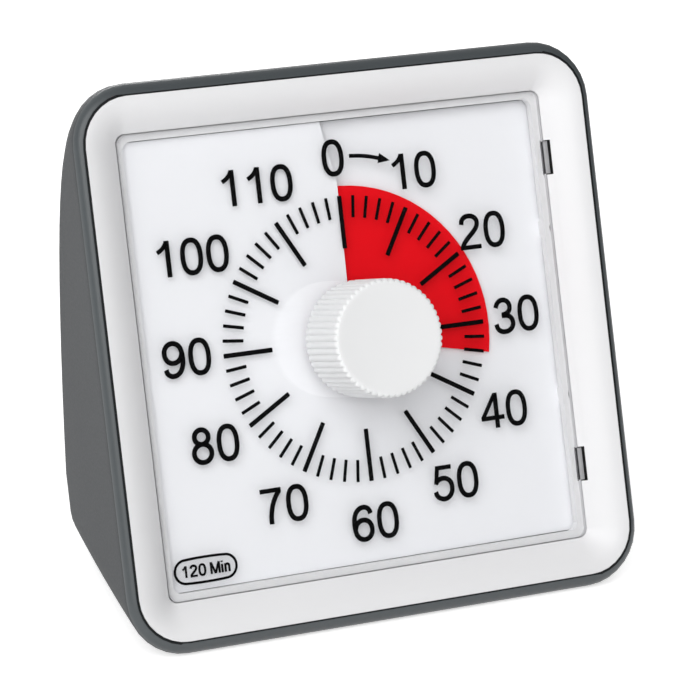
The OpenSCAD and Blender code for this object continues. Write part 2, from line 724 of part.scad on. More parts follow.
module rotor_pinion() color([0.87, 0.86, 0.80]) on_face() {
    arbor(rotor_at);
    pinion(rotor_at, rotor_turn, third_z, thin_wheel);
}
module rotor_magnet() color([0.22, 0.22, 0.24]) on_face() difference() {
    post(rotor_at[0], rotor_at[1], magnet_r, magnet_z - magnet_t, magnet_z);
    post(rotor_at[0], rotor_at[1], rod_r + 0.02, magnet_z - magnet_t - 1, magnet_z + 1);
}
module stator() color([0.60, 0.61, 0.63]) on_face() difference() {
    union() {
        post(rotor_at[0], rotor_at[1], stator_r, stator_z - stator_t, stator_z);
        bar(rotor_at[0], arm_x1, arm_y, arm_y + arm_w, stator_z - stator_t, stator_z);
        bar(arm_x1 - arm_w, arm_x1, arm_y, coil_y + core_w / 2, stator_z - stator_t, stator_z);
        bar(rotor_at[0], arm_x1, coil_y - core_w / 2, coil_y + core_w / 2, stator_z - stator_t, stator_z);
        post(stator_post[1][0], stator_post[1][1], 1.3, stator_z - stator_t, stator_z);
    }
    post(rotor_at[0], rotor_at[1], magnet_r + 0.5, stator_z - stator_t - 1, stator_z + 1);
}
module along_coil() translate([coil_x0, coil_y, coil_z]) rotate([0, 90, 0]) children();
module coil_bobbin() color([0.92, 0.92, 0.90]) on_face() difference() {
    along_coil() {
        cylinder(r = spool_r, h = coil_x1 - coil_x0);
        for (x = [0, coil_x1 - coil_x0 - spool_flange]) translate([0, 0, x]) cylinder(r = flange_r, h = spool_flange);
    }
    bar(coil_x0 - 1, coil_x1 + 1, coil_y - core_w / 2 - pilot, coil_y + core_w / 2 + pilot,
        stator_z - stator_t - pilot, stator_z + pilot);
}
module coil_winding() color([0.72, 0.40, 0.20]) on_face() {
    difference() {
        along_coil() translate([0, 0, spool_flange + pilot])
            cylinder(r = coil_r, h = coil_x1 - coil_x0 - 2 * spool_flange - 2 * pilot);
        along_coil() cylinder(r = spool_r + 0.02, h = coil_x1 - coil_x0);
    }
    // Wire ends down to the board
    for (x = [coil_x0 + 4, coil_x0 + 7]) wire([[x, coil_y - coil_r + 0.1, coil_z - 0.45],
        [x, coil_y - coil_r - 1.4, stator_z - stator_t - 0.16], [x, board_y1 - 0.4, board_z + 0.13]], 0.12);
}

// ---- electronics ----

board_w = 14;
board_y1 = 5.3;
board_h = 17.1;
board_t = 1;
board_x1 = case_w / 2 - case_wall - 0.8;
board_x0 = board_x1 - board_w;
board_y0 = board_y1 - board_h;
board_z = cover_z + board_t + 0.2;
board_post = [for (y = [board_y0 + 1.6, board_y1 - 1.3]) [board_x1 - board_post_r - 0.6, y]];
chip_at = [board_x0 + 5.2, board_y0 + 6.8];
chip_r = 2.5;
chip_h = 1.1;
can_at = [board_x1 - 3.8, board_y0 + 3.8];
can_r = 1;
can_len = 6;

module circuit_board() color([0.10, 0.36, 0.20]) on_face() bar(board_x0, board_x1, board_y0, board_y1, board_z - board_t, board_z);
module chip() color([0.05, 0.05, 0.06]) on_face() translate([chip_at[0], chip_at[1], board_z]) rotate_extrude()
    polygon(concat([[0, 0]], [for (i = [0 : 8]) [chip_r * cos(11.25 * i), chip_h * sin(11.25 * i)]]));
module crystal() color([0.75, 0.76, 0.78]) on_face() translate([can_at[0], can_at[1], board_z]) {
    translate([0, 0, can_r]) rotate([-90, 0, 0]) cylinder(r = can_r, h = can_len);
    for (s = [-1, 1]) translate([0.4 * s, -1, 0]) {
        cylinder(r = 0.15, h = can_r / 2);
        translate([0, 0, can_r / 2]) rotate([-90, 0, 0]) cylinder(r = 0.15, h = 1.2);
    }
}
module buzzer() color([0.10, 0.10, 0.11]) on_face() on_back(speaker_d, 0) difference() {
    post(0, 0, buzzer_dia / 2, -wall - buzzer_t, -wall - pilot);
    post(0, 0, 1.2, -wall - 1.5, 0);
}
module switch_body() color([0.12, 0.12, 0.13]) on_face() on_back(switch_d, 0) difference() {
    block(switch_w, switch_h, -wall - switch_t, -wall - pilot);
    block(foot_w + 2 * switch_travel + 2 * gap, cap_h + 2 * run_gap, -wall - foot_t - run_gap, 0);
}
foot_w = 4.4;
foot_t = 1.4;
module switch_slider() color([0.05, 0.05, 0.06]) on_face() on_back(switch_d, 0) {
    block(foot_w, cap_h, -wall - foot_t, -wall - gap);
    block(cap_w, cap_h, -wall - foot_t, 0.8);
}

// ---- battery ----

contact_t = 0.4;
contact_half = 4.5;
nub_r = 2.7;
nub_t = 1;
cell_x1 = tray_x - contact_t - pilot;
cell_x0 = cell_x1 - cell_len;
tab_top = tray_top + 1;
tab_z = cell_z + 2.7;
spring_turns = 3;
spring_wire = 0.4;

module battery_cell() color([0.20, 0.45, 0.30]) on_face() translate([cell_x0, cell_y, cell_z]) rotate([0, 90, 0])
    rotate_extrude() polygon([[0, 0], [cell_r - 0.5, 0], [cell_r, 0.5], [cell_r, cell_len - nub_t - 0.5],
        [cell_r - 0.5, cell_len - nub_t], [nub_r, cell_len - nub_t], [nub_r, cell_len], [0, cell_len]]);
module contact(x) {
    bar(x, x + contact_t, cell_y - contact_half, cell_y + contact_half,
        cell_z - contact_half, cell_z + contact_half);
    bar(x, x + contact_t, cell_y, tab_top, tab_z - 1.5, tab_z + 1.5);
}
module battery_plate() color([0.78, 0.79, 0.80]) on_face() contact(tray_x - contact_t);
module battery_spring() color([0.76, 0.77, 0.79]) on_face() {
    contact(-tray_x);
    x0 = contact_t - tray_x + spring_wire * 0.6;
    x1 = cell_x0 - spring_wire - pilot;
    n = 16 * spring_turns;
    sweep([for (i = [0 : n]) let (t = i / n, a = 360 * spring_turns * t, r = 4 - 1.6 * t)
        [x0 + (x1 - x0) * t, cell_y + r * cos(a), cell_z + r * sin(a)]], spring_wire);
}

// ---- screws ----

module case_screws() color([0.62, 0.63, 0.66]) on_face() two_wells() translate([0, 0, well_z])
    screw(screw_end - well_z);
module chassis_screws() color([0.63, 0.64, 0.66]) on_face() four(boss_x, boss_y) translate([0, 0, case_z])
    screw(-case_z);
module movement_screws() color([0.64, 0.65, 0.67]) on_face() four(case_x, case_y)
    translate([0, 0, cover_z - case_wall]) screw(screw_end - cover_z + case_wall);

// ---- leads ----

lead_r = 0.4;
lead_z = board_z + lead_r;
lead_x = board_x1 - 0.7;

// Smooth curve through the given points
function curve(p, n) = let (m = len(p) - 1) concat(
    [for (i = [0 : m - 1]) for (j = [0 : n - 1]) let (t = j / n,
            a = p[max(i - 1, 0)], b = p[i], c = p[i + 1], d = p[min(i + 2, m)])
        b + (c - a) * t / 2 + (2 * a - 5 * b + 4 * c - d) * t * t / 2
            + (3 * b - a - 3 * c + d) * t * t * t / 2], [p[m]]);
function unit(v) = v / norm(v);

// Round section carried along the points p
module sweep(p, r) {
    m = len(p) - 1;
    skin([for (i = [0 : m]) let (t = unit(p[min(i + 1, m)] - p[max(i - 1, 0)]),
            u = unit(cross(t, abs(t[0]) > 0.9 ? [0, 1, 0] : [1, 0, 0])), v = cross(u, t))
        [for (k = [0 : 7]) p[i] + r * (u * cos(45 * k) + v * sin(45 * k))]]);
}
module wire(p, r) sweep(curve(p, 3), r);

// Point off the back at depth d: up the wall by up, out of it by out
function back_point(d, x, up, out) = let (a = back_angle(d))
    [x, top_y(d) + up * cos(a) + out * sin(a), crest_z - d + up * sin(a) - out * cos(a)];

// From x, y, z over the given points to the pad at height y of the board
module lead(pad_y, points) wire(concat(points, [[case_w / 2 + 1, pad_y, lead_z], [lead_x, pad_y, lead_z]]), lead_r);

module power_leads() color([0.75, 0.10, 0.08]) on_face() {
    x = tray_x - contact_t - lead_r;
    y = tab_top - 0.6;
    lead(-6.5, [[x, y, tab_z], [x - 0.3, y + 2.2, tab_z + 2], [25, -8.5, -20.5], [22.6, -6.8, -15.2]]);
    lead(-7.9, [[-x, y, tab_z], [0.3 - x, y + 2.2, tab_z + 2], [-24, -9, -20.8], [-14, -9.8, -19.2],
        [10, -10, -19], [20, -9.9, -17.6], [21.7, -9.2, -15]]);
}
module buzzer_leads() color([0.12, 0.12, 0.14]) on_face() {
    start = -wall - buzzer_t - lead_r - 0.1;
    lead(0.8, [back_point(speaker_d, 2.5, 0, start), back_point(speaker_d, 8, -2.9, start - 0.5),
        [19, 12, -18.5], [22.3, 4, -16.5]]);
    lead(-0.6, [back_point(speaker_d, -2.5, 0, start), back_point(speaker_d, 4, -2.7, start - 1.8),
        [18.5, 10.5, -17.4], [20.9, 2, -16.5]]);
}
module switch_leads() color([0.85, 0.75, 0.15]) on_face() {
    start = -wall - switch_t - lead_r - 0.1;
    lead(-2.2, [back_point(switch_d, 3, 0, start), [10, 0.6, -24], [19, -1, -19.5], [21.8, -2, -15.5]]);
    lead(-3.6, [back_point(switch_d, -1, 0, start), [8, -1.2, -23.5], [18, -2.8, -18.6], [21, -3.5, -15.2]]);
}

rear_housing();
front_frame();
lens();
dial_plate();
red_disc();
knob();
shaft();
clutch_washer();
chassis_plate();
movement_case();
movement_cover();
centre_wheel();
second_wheel();
third_wheel();
rotor_pinion();
rotor_magnet();
stator();
coil_bobbin();
coil_winding();
circuit_board();
chip();
crystal();
buzzer();
switch_body();
switch_slider();
battery_cell();
battery_spring();
battery_plate();
battery_door();
case_screws();
chassis_screws();
movement_screws();
power_leads();
buzzer_leads();
switch_leads();
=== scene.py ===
import json
import math

import bmesh
import bpy
from mathutils import Matrix, Quaternion, Vector

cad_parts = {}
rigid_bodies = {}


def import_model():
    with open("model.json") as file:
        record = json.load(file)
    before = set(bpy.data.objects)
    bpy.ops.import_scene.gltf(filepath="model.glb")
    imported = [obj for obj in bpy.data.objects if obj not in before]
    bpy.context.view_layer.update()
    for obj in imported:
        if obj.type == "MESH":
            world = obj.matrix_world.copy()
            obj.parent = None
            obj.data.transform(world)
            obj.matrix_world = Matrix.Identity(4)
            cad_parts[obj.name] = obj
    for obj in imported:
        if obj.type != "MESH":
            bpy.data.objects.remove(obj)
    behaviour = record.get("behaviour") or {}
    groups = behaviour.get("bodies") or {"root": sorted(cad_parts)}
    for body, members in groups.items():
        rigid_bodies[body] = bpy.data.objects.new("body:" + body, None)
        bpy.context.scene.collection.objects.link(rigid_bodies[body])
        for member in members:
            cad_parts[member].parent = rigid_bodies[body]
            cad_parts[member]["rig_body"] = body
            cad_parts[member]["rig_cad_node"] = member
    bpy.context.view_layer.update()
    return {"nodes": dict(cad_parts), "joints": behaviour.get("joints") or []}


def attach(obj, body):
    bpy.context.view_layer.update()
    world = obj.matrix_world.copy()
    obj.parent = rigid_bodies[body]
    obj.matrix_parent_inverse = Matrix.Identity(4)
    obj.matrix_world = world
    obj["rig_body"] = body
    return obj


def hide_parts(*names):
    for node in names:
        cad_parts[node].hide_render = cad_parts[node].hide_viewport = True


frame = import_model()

bl_info = {
    "name": "Visual countdown timer",
    "version": (1, 0, 0),
    "blender": (4, 5, 0),
    "location": "3D View > Sidebar > Timer",
    "description": "Dresses the parts of the timer: housing, lens, dial, disc, knob and works",
    "category": "Object",
}

MM = 0.001
# Points of a mesh that are closer than this, in metres, are one point
SAME_POINT = 1e-6
# Least cosine between the normal of a face and the way that it is said to face
FACING = 0.9

# ---- where the face lies -------------------------------------------------

KNOB_JOINT = next(j for j in frame["joints"] if j["name"] == "knob_turn")
FACE_CENTRE = Vector(KNOB_JOINT["pos_m"])
FACE_OUT = -Vector(KNOB_JOINT["axis"]).normalized()
FACE_RIGHT = Vector((1, 0, 0))
FACE_UP = FACE_OUT.cross(FACE_RIGHT)
# From the face (right, up and out from the centre of the dial, on the back of the lens) to the
# world, and back
FACE = Matrix((
    (FACE_RIGHT.x, FACE_UP.x, FACE_OUT.x, FACE_CENTRE.x),
    (FACE_RIGHT.y, FACE_UP.y, FACE_OUT.y, FACE_CENTRE.y),
    (FACE_RIGHT.z, FACE_UP.z, FACE_OUT.z, FACE_CENTRE.z),
    (0, 0, 0, 1)))
TO_FACE = FACE.inverted()


# ---- sizes and colours that a user would change --------------------------

def length(name, description, millimetres):
    return bpy.props.FloatProperty(name=name, description=description, default=millimetres * MM,
                                   unit="LENGTH", min=0, precision=5)


def colour(name, description, value):
    return bpy.props.FloatVectorProperty(name=name, description=description, default=value,
                                         subtype="COLOR", size=3, min=0, max=1)


def amount(name, description, value, least=0, unit="NONE"):
    return bpy.props.FloatProperty(name=name, description=description, default=value, min=least,
                                   unit=unit)


class TimerPrint(bpy.types.PropertyGroup):
    ring_radius: length("Tick ring", "Outer radius of the ring of ticks", 20.0)
    minor_length: length("Minor tick", "Length of a two-minute tick", 3.1)
    minor_width: length("Minor tick width", "Width of a two-minute tick", 0.47)
    major_length: length("Major tick", "Length of a ten-minute tick", 7.35)
    major_width: length("Major tick width", "Width of a ten-minute tick", 0.66)
    figure_height: length("Figure height", "Height of the printed figures", 5.0)
    figure_step: length("Figure step", "Distance from one figure to the next", 3.84)
    figure_stroke: length("Figure stroke", "Stroke width of the printed figures", 0.71)
    note_height: length("Note height", "Height of the small printed note", 1.62)
    ink: length("Ink thickness", "Thickness of the printed ink", 0.02)
    ink_gap: length("Ink gap", "Distance from the back of the lens to the ink", 0.01)


class TimerKnob(bpy.types.PropertyGroup):
    radius: length("Radius", "Radius over the ribs", 8.2)
    front: length("Front", "Height of the front above the back of the lens", 11.7)
    back: length("Back", "Height of the lower edge above the back of the lens", 1.75)
    groove: length("Groove", "Depth of the grooves between the ribs", 0.3)
    edge: length("Edge", "Radius of the front edge", 0.6)
    ribs: bpy.props.IntProperty(name="Ribs", description="Number of ribs", default=54, min=12)


class TimerColours(bpy.types.PropertyGroup):
    housing: colour("Housing", "Grey plastic of the housing and its door", (0.078, 0.082, 0.086))
    rim: colour("Rim", "Smooth grey plastic of the rim", (0.066, 0.075, 0.080))
    frame: colour("Frame", "White plastic of the front frame", (0.78, 0.78, 0.79))
    plate: colour("Dial", "White of the dial plate", (0.92, 0.925, 0.955))
    disc: colour("Disc", "Red of the disc", (0.86, 0.0025, 0.009))
    knob: colour("Knob", "White plastic of the knob", (0.80, 0.805, 0.81))
    ink: colour("Ink", "Black of the print", (0.002, 0.002, 0.0025))


class TimerStudio(bpy.types.PropertyGroup):
    key: amount("Key", "Power of the key lamp", 7.3, unit="POWER")
    fill: amount("Back lamp", "Power of the lamp behind", 3.2, unit="POWER")
    room: amount("Room", "Brightness of the room", 0.45)
    front: amount("Front", "Brightness of what the front mirrors", 0.03)
    focal: amount("Focal length", "Focal length of the camera", 194.6, 1, "CAMERA")


# ---- work by hand --------------------------------------------------------

def only(*objects):
    """Leaves just these objects selected, the first one active."""
    if bpy.context.object and bpy.context.object.mode != "OBJECT":
        bpy.ops.object.mode_set(mode="OBJECT")
    bpy.ops.object.select_all(action="DESELECT")
    for each in objects:
        each.select_set(True)
    bpy.context.view_layer.objects.active = objects[0] if objects else None


def added(name):
    """Names what was just added and leaves it alone selected."""
    piece = bpy.context.object
    piece.name = name
    piece.data.name = name
    only(piece)
    return piece


def settle(piece, matrix=None):
    """Puts a piece in its place and lets its mesh hold that place."""
    only(piece)
    if matrix is not None:
        piece.matrix_world = matrix @ piece.matrix_world
        bpy.context.view_layer.update()
    bpy.ops.object.transform_apply(location=True, rotation=True, scale=True)
    return piece


def joined(name, pieces):
    only(*pieces)
    if len(pieces) > 1:
        bpy.ops.object.join()
    return added(name)


def apply_all(piece):
    only(piece)
    for modifier in list(piece.modifiers):
        bpy.ops.object.modifier_apply(modifier=modifier.name)
    return piece


def pick(piece, wanted, kind="verts"):
    """Selects, in edit mode, the vertices, edges or faces that a test wants."""
    mode = {"verts": "VERT", "edges": "EDGE", "faces": "FACE"}[kind]
    bpy.ops.mesh.select_mode(type=mode)
    bpy.ops.mesh.select_all(action="DESELECT")
    shape = bmesh.from_edit_mesh(piece.data)
    count = 0
    for item in getattr(shape, kind):
        if wanted(item):
            item.select_set(True)
            count += 1
    shape.select_flush_mode()
    bmesh.update_edit_mesh(piece.data)
    return count


def find(piece, wanted, kind, missing):
    """Picks like pick, and stops with a message when there is nothing to pick."""
    if not pick(piece, wanted, kind):
        raise RuntimeError(missing)


def paint(piece, material):
    """Gives the selected faces a material of their own."""
    piece.data.materials.append(material)
    piece.active_material_index = len(piece.data.materials) - 1
    bpy.ops.object.material_slot_assign()


def edit(piece):
    only(piece)
    bpy.ops.object.mode_set(mode="EDIT")


def done():
    bpy.ops.object.mode_set(mode="OBJECT")


def copied(node, name, smooth=35, flat=0.6):
    """A merged, smoothly shaded copy of a CAD node, for a piece that replaces it.

    Edges that bend by more than smooth degrees stay sharp. Faces that differ by less than flat
    degrees become one, unless flat is 0.
    """
    only(frame["nodes"][node])
    bpy.ops.object.duplicate()
    piece = added(name)
    piece.parent = None
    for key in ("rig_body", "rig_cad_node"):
        if key in piece:
            del piece[key]
    edit(piece)
    bpy.ops.mesh.select_all(action="SELECT")
    bpy.ops.mesh.remove_doubles(threshold=SAME_POINT)
    if flat:
        bpy.ops.mesh.dissolve_limited(angle_limit=math.radians(flat))
    done()
    if piece.data.has_custom_normals:
        bpy.ops.mesh.customdata_custom_splitnormals_clear()
    bpy.ops.object.shade_smooth_by_angle(angle=math.radians(smooth))
    even = piece.modifiers.new("Even", "WEIGHTED_NORMAL")
    even.keep_sharp = True
    return apply_all(piece)


def coat(piece, material):
    if piece.data.materials:
        for slot in piece.material_slots:
            slot.material = material
    else:
        piece.data.materials.append(material)
    return piece


def dress(node, material):
    for slot in frame["nodes"][node].material_slots:
        slot.material = material


# ---- finishes ------------------------------------------------------------

# Between these two values lies nearly all of what a noise texture gives
NOISE_LOW, NOISE_HIGH = 0.3, 0.7


def new_group(name, inputs, outputs):
    group = bpy.data.node_groups.new(name, "ShaderNodeTree")
    for title, kind, value in inputs:
        socket = group.interface.new_socket(title, in_out="INPUT", socket_type=kind)
        socket.default_value = value
    for title, kind in outputs:
        group.interface.new_socket(title, in_out="OUTPUT", socket_type=kind)
    return group, group.nodes.new("NodeGroupInput"), group.nodes.new("NodeGroupOutput")


def node(tree, kind, **values):
    made = tree.nodes.new(kind)
    for key, value in values.items():
        setattr(made, key, value)
    return made


def maths(tree, operation, a, b=None, clamp=False):
    made = node(tree, "ShaderNodeMath", operation=operation, use_clamp=clamp)
    for socket, value in zip(made.inputs, (a, b)):
        if value is None:
            continue
        if isinstance(value, (int, float)):
            socket.default_value = value
        else:
            tree.links.new(value, socket)
    return made.outputs[0]


def grain_group():
    """Fine spark-eroded grain of moulded plastic, with slow drifts of tone and gloss."""
    name = "Moulded grain"
    if name in bpy.data.node_groups:
        return bpy.data.node_groups[name]
    group, given, result = new_group(
        name,
        [("Grain per metre", "NodeSocketFloat", 2500.0),
         ("Drift per metre", "NodeSocketFloat", 40.0)],
        [("Height", "NodeSocketFloat"), ("Drift", "NodeSocketFloat")])
    place = node(group, "ShaderNodeTexCoord")
    fine = node(group, "ShaderNodeTexNoise", noise_dimensions="3D")
    fine.inputs["Detail"].default_value = 3.0
    fine.inputs["Roughness"].default_value = 0.55
    slow = node(group, "ShaderNodeTexNoise", noise_dimensions="3D")
    slow.inputs["Detail"].default_value = 2.0
    group.links.new(place.outputs["Object"], fine.inputs["Vector"])
    group.links.new(place.outputs["Object"], slow.inputs["Vector"])
    group.links.new(given.outputs["Grain per metre"], fine.inputs["Scale"])
    group.links.new(given.outputs["Drift per metre"], slow.inputs["Scale"])
    group.links.new(fine.outputs["Fac"], result.inputs["Height"])
    group.links.new(slow.outputs["Fac"], result.inputs["Drift"])
    return group


def spread(tree, value, low, high):
    """Turns the value of a noise texture into a number between two bounds."""
    made = node(tree, "ShaderNodeMapRange")
    made.inputs["From Min"].default_value = NOISE_LOW
    made.inputs["From Max"].default_value = NOISE_HIGH
    made.inputs["To Min"].default_value = low
    made.inputs["To Max"].default_value = high
    tree.links.new(value, made.inputs["Value"])
    return made.outputs["Result"]


def blend_colour(tree, mask, first, second):
    made = node(tree, "ShaderNodeMix", data_type="RGBA")
    tree.links.new(mask, made.inputs["Factor"])
    for name, value in (("A", first), ("B", second)):
        socket = [s for s in made.inputs if s.name == name and s.type == "RGBA"][0]
        socket.default_value = (*value, 1)
    return [s for s in made.outputs if s.type == "RGBA"][0]


def shader(name):
    material = bpy.data.materials.new(name)
    material.use_nodes = True
    tree = material.node_tree
    return material, tree, tree.nodes["Principled BSDF"]


def tinted(value, factor):
    return tuple(min(1, c * factor) for c in value)


def moulded(name, base, roughness, grain, bump, tone, drift=40, gloss=0.5, metal=0.0):
    """A plastic or metal with grain, a slow drift of tone and an uneven gloss.

    Grain and drift are in waves per metre and the bump in millimetres. The tone goes up and down by
    its share of the base colour, and the roughness runs between its two bounds.
    """
    if name in bpy.data.materials:
        return bpy.data.materials[name]
    material, tree, surface = shader(name)
    pattern = node(tree, "ShaderNodeGroup", node_tree=grain_group())
    pattern.inputs["Grain per metre"].default_value = grain
    pattern.inputs["Drift per metre"].default_value = drift
    tint = blend_colour(tree, spread(tree, pattern.outputs["Drift"], 0, 1),
                        tinted(base, 1 - tone), tinted(base, 1 + tone))
    tree.links.new(tint, surface.inputs["Base Color"])
    tree.links.new(spread(tree, pattern.outputs["Height"], *roughness), surface.inputs["Roughness"])
    relief = node(tree, "ShaderNodeBump")
    relief.inputs["Strength"].default_value = 1.0
    relief.inputs["Distance"].default_value = bump * MM
    tree.links.new(pattern.outputs["Height"], relief.inputs["Height"])
    tree.links.new(relief.outputs["Normal"], surface.inputs["Normal"])
    surface.inputs["Metallic"].default_value = metal
    surface.inputs["Specular IOR Level"].default_value = gloss
    return material


def clear_plastic():
    """Clear sheet. Shadow and diffuse rays pass, so the dial is lit as it is under a thin sheet."""
    material, tree, surface = shader("Clear acrylic")
    surface.inputs["Base Color"].default_value = (0.985, 0.99, 0.99, 1)
    surface.inputs["Roughness"].default_value = 0.0
    surface.inputs["IOR"].default_value = 1.49
    surface.inputs["Transmission Weight"].default_value = 1.0
    path = node(tree, "ShaderNodeLightPath")
    through = node(tree, "ShaderNodeBsdfTransparent")
    through.inputs["Color"].default_value = (0.99, 0.99, 0.99, 1)
    mix = node(tree, "ShaderNodeMixShader")
    passing = maths(tree, "MAXIMUM", path.outputs["Is Shadow Ray"], path.outputs["Is Diffuse Ray"])
    tree.links.new(passing, mix.inputs[0])
    tree.links.new(surface.outputs["BSDF"], mix.inputs[1])
    tree.links.new(through.outputs["BSDF"], mix.inputs[2])
    tree.links.new(mix.outputs[0], tree.nodes["Material Output"].inputs["Surface"])
    return material


# ---- print ---------------------------------------------------------------

# Straight pieces between two points of a bent stroke
PEN_STEPS = 6
# Points of the thin printed strokes that are closer than this, in metres, are one point
SAME_INK = 1e-7


def pen(points, stroke, closed=False, smooth=True):
    """One pen stroke drawn as a flat ribbon of even width in the XY plane."""
    only()
    bpy.ops.curve.primitive_bezier_curve_add(location=(0, 0, 0))
    line = bpy.context.object
    data = line.data
    data.splines.clear()
    spline = data.splines.new("BEZIER")
    spline.bezier_points.add(len(points) - 1)
    for point, (x, y) in zip(spline.bezier_points, points):
        point.co = (x, y, 0)
        kind = "AUTO" if smooth else "VECTOR"
        point.handle_left_type = kind
        point.handle_right_type = kind
        point.tilt = math.pi / 2
    spline.use_cyclic_u = closed
    data.dimensions = "3D"
    data.twist_mode = "Z_UP"
    data.resolution_u = PEN_STEPS
    data.extrude = stroke / 2
    only(line)
    bpy.ops.object.convert(target="MESH")
    return bpy.context.object


def oval(cx, cy, a, b, power=2.0, count=16):
    """Points round a middle, on an ellipse or, with a higher power, on a squarer oval."""
    points = []
    for k in range(count):
        c, s = math.cos(2 * math.pi * k / count), math.sin(2 * math.pi * k / count)
        points.append((cx + a * math.copysign(abs(c) ** (2 / power), c),
                       cy + b * math.copysign(abs(s) ** (2 / power), s)))
    return points


# Three kinds of stroke: the points, whether it is closed, whether it is smooth, and its width as a
# share of the stroke of the figures

def bar(start, end, width=1):
    return [start, end], False, False, width


def bow(points, width=1):
    return points, False, True, width


def loop(points):
    return points, True, True, 1


# Strokes of the figures, in a box one unit high and as wide as this
FIGURE_WIDTH = 0.777
SIX = [(0.64, 0.745), (0.605, 0.855), (0.52, 0.925), (0.405, 0.94), (0.27, 0.885), (0.175, 0.765),
       (0.13, 0.60), (0.122, 0.45), (0.14, 0.28), (0.20, 0.14), (0.30, 0.065), (0.405, 0.045),
       (0.53, 0.085), (0.62, 0.19), (0.645, 0.31), (0.615, 0.45), (0.52, 0.555), (0.40, 0.585),
       (0.275, 0.555), (0.18, 0.46), (0.135, 0.34)]
# The nine is the six after half a turn
NINE = [(0.774 - x, 0.985 - y) for x, y in SIX]
STROKES = {
    "0": [loop(oval(0.387, 0.493, 0.262, 0.448, 2.35))],
    "1": [bar((0.462, 0), (0.462, 1)),
          bow([(0.155, 0.69), (0.24, 0.735), (0.34, 0.81), (0.42, 0.92), (0.447, 0.985)], 0.86)],
    "2": [bow([(0.135, 0.715), (0.165, 0.835), (0.26, 0.92), (0.39, 0.942), (0.52, 0.91),
               (0.612, 0.82), (0.628, 0.72), (0.59, 0.61), (0.49, 0.49), (0.36, 0.375),
               (0.235, 0.255), (0.145, 0.135), (0.115, 0.06)]),
          bar((0.045, 0.059), (0.703, 0.059), 0.9)],
    "3": [bow([(0.118, 0.275), (0.155, 0.15), (0.255, 0.065), (0.385, 0.042), (0.53, 0.08),
               (0.625, 0.18), (0.645, 0.29), (0.60, 0.415), (0.50, 0.485), (0.385, 0.50),
               (0.31, 0.498)]),
          bow([(0.33, 0.525), (0.45, 0.545), (0.55, 0.61), (0.588, 0.72), (0.565, 0.83),
               (0.485, 0.915), (0.385, 0.942), (0.27, 0.915), (0.185, 0.83), (0.148, 0.735)])],
    "4": [bar((0.513, 0), (0.513, 1)),
          bar((0.02, 0.296), (0.75, 0.296), 0.9),
          bar((0.068, 0.30), (0.49, 0.955), 0.86)],
    "5": [bar((0.19, 0.929), (0.672, 0.929), 0.9),
          bar((0.247, 0.985), (0.16, 0.475), 0.9),
          bow([(0.14, 0.50), (0.25, 0.592), (0.385, 0.625), (0.52, 0.592), (0.618, 0.49),
               (0.645, 0.34), (0.61, 0.185), (0.51, 0.08), (0.385, 0.042), (0.26, 0.07),
               (0.16, 0.155), (0.122, 0.27)])],
    "6": [bow(SIX)],
    "7": [bar((0.066, 0.929), (0.705, 0.929), 0.9),
          bow([(0.655, 0.91), (0.54, 0.76), (0.435, 0.565), (0.37, 0.36), (0.34, 0.18),
               (0.333, 0)])],
    "8": [loop(oval(0.387, 0.742, 0.205, 0.2)),
          loop(oval(0.387, 0.293, 0.258, 0.25))],
    "9": [bow(NINE)],
    "M": [bar((0.12, 0), (0.12, 1)), bar((0.86, 0), (0.86, 1)),
          bar((0.13, 0.99), (0.49, 0.02), 0.95), bar((0.85, 0.99), (0.49, 0.02), 0.95)],
    "i": [bar((0.15, 0), (0.15, 0.72)), bar((0.15, 0.87), (0.15, 1))],
    "n": [bar((0.13, 0), (0.13, 0.72)),
          bow([(0.13, 0.5), (0.19, 0.62), (0.31, 0.67), (0.43, 0.62), (0.475, 0.5), (0.48, 0.3),
               (0.48, 0)])],
}
# How far the pen moves on after the letters that aren't as wide as a figure
ADVANCE = {"M": 0.97, "i": 0.31, "n": 0.6, " ": 0.3}

# Middle of each printed number, in millimetres from the centre of the dial
NUMBER_PLACES = {
    "0": (-0.32, 25.37), "10": (11.7, 22.36), "20": (21.43, 12.83), "30": (25.29, 0.43),
    "40": (21.75, -12.73), "50": (12.86, -21.78), "60": (-0.13, -25.68), "70": (-13.53, -21.37),
    "80": (-22.76, -11.75), "90": (-25.45, 0.48), "100": (-23.0, 14.18), "110": (-12.3, 22.76)}


def figure_masters(height, stroke, letters):
    """One mesh for every figure that is needed."""
    masters = {}
    for letter in sorted(set(letters) - {" "}):
        lines = []
        for points, closed, smooth, width in STROKES[letter]:
            lines.append(pen([(x * height, y * height) for x, y in points],
                             stroke * width, closed, smooth))
        masters[letter] = joined("figure " + letter, lines)
    return masters


def advance(letter):
    return ADVANCE.get(letter, FIGURE_WIDTH)


def write(masters, text, middle, height, step):
    """Copies of the masters set side by side round a middle point."""
    copies = []
    scale = step / (FIGURE_WIDTH * height)
    x = middle[0] - sum(advance(letter) for letter in text) * height * scale / 2
    for letter in text:
        if letter != " ":
            only(masters[letter])
            bpy.ops.object.duplicate()
            each = bpy.context.object
            each.location = (x, middle[1] - height / 2, 0)
            copies.append(each)
        x += advance(letter) * height * scale
    return copies


def lettering(texts, height, stroke, step):
    """Flat strokes of every text round its place, which is in millimetres."""
    masters = figure_masters(height, stroke, "".join(texts))
    copies = []
    for text, (x, y) in texts.items():
        copies += write(masters, text, (x * MM, y * MM), height, step)
    for master in masters.values():
        bpy.data.objects.remove(master)
    return copies


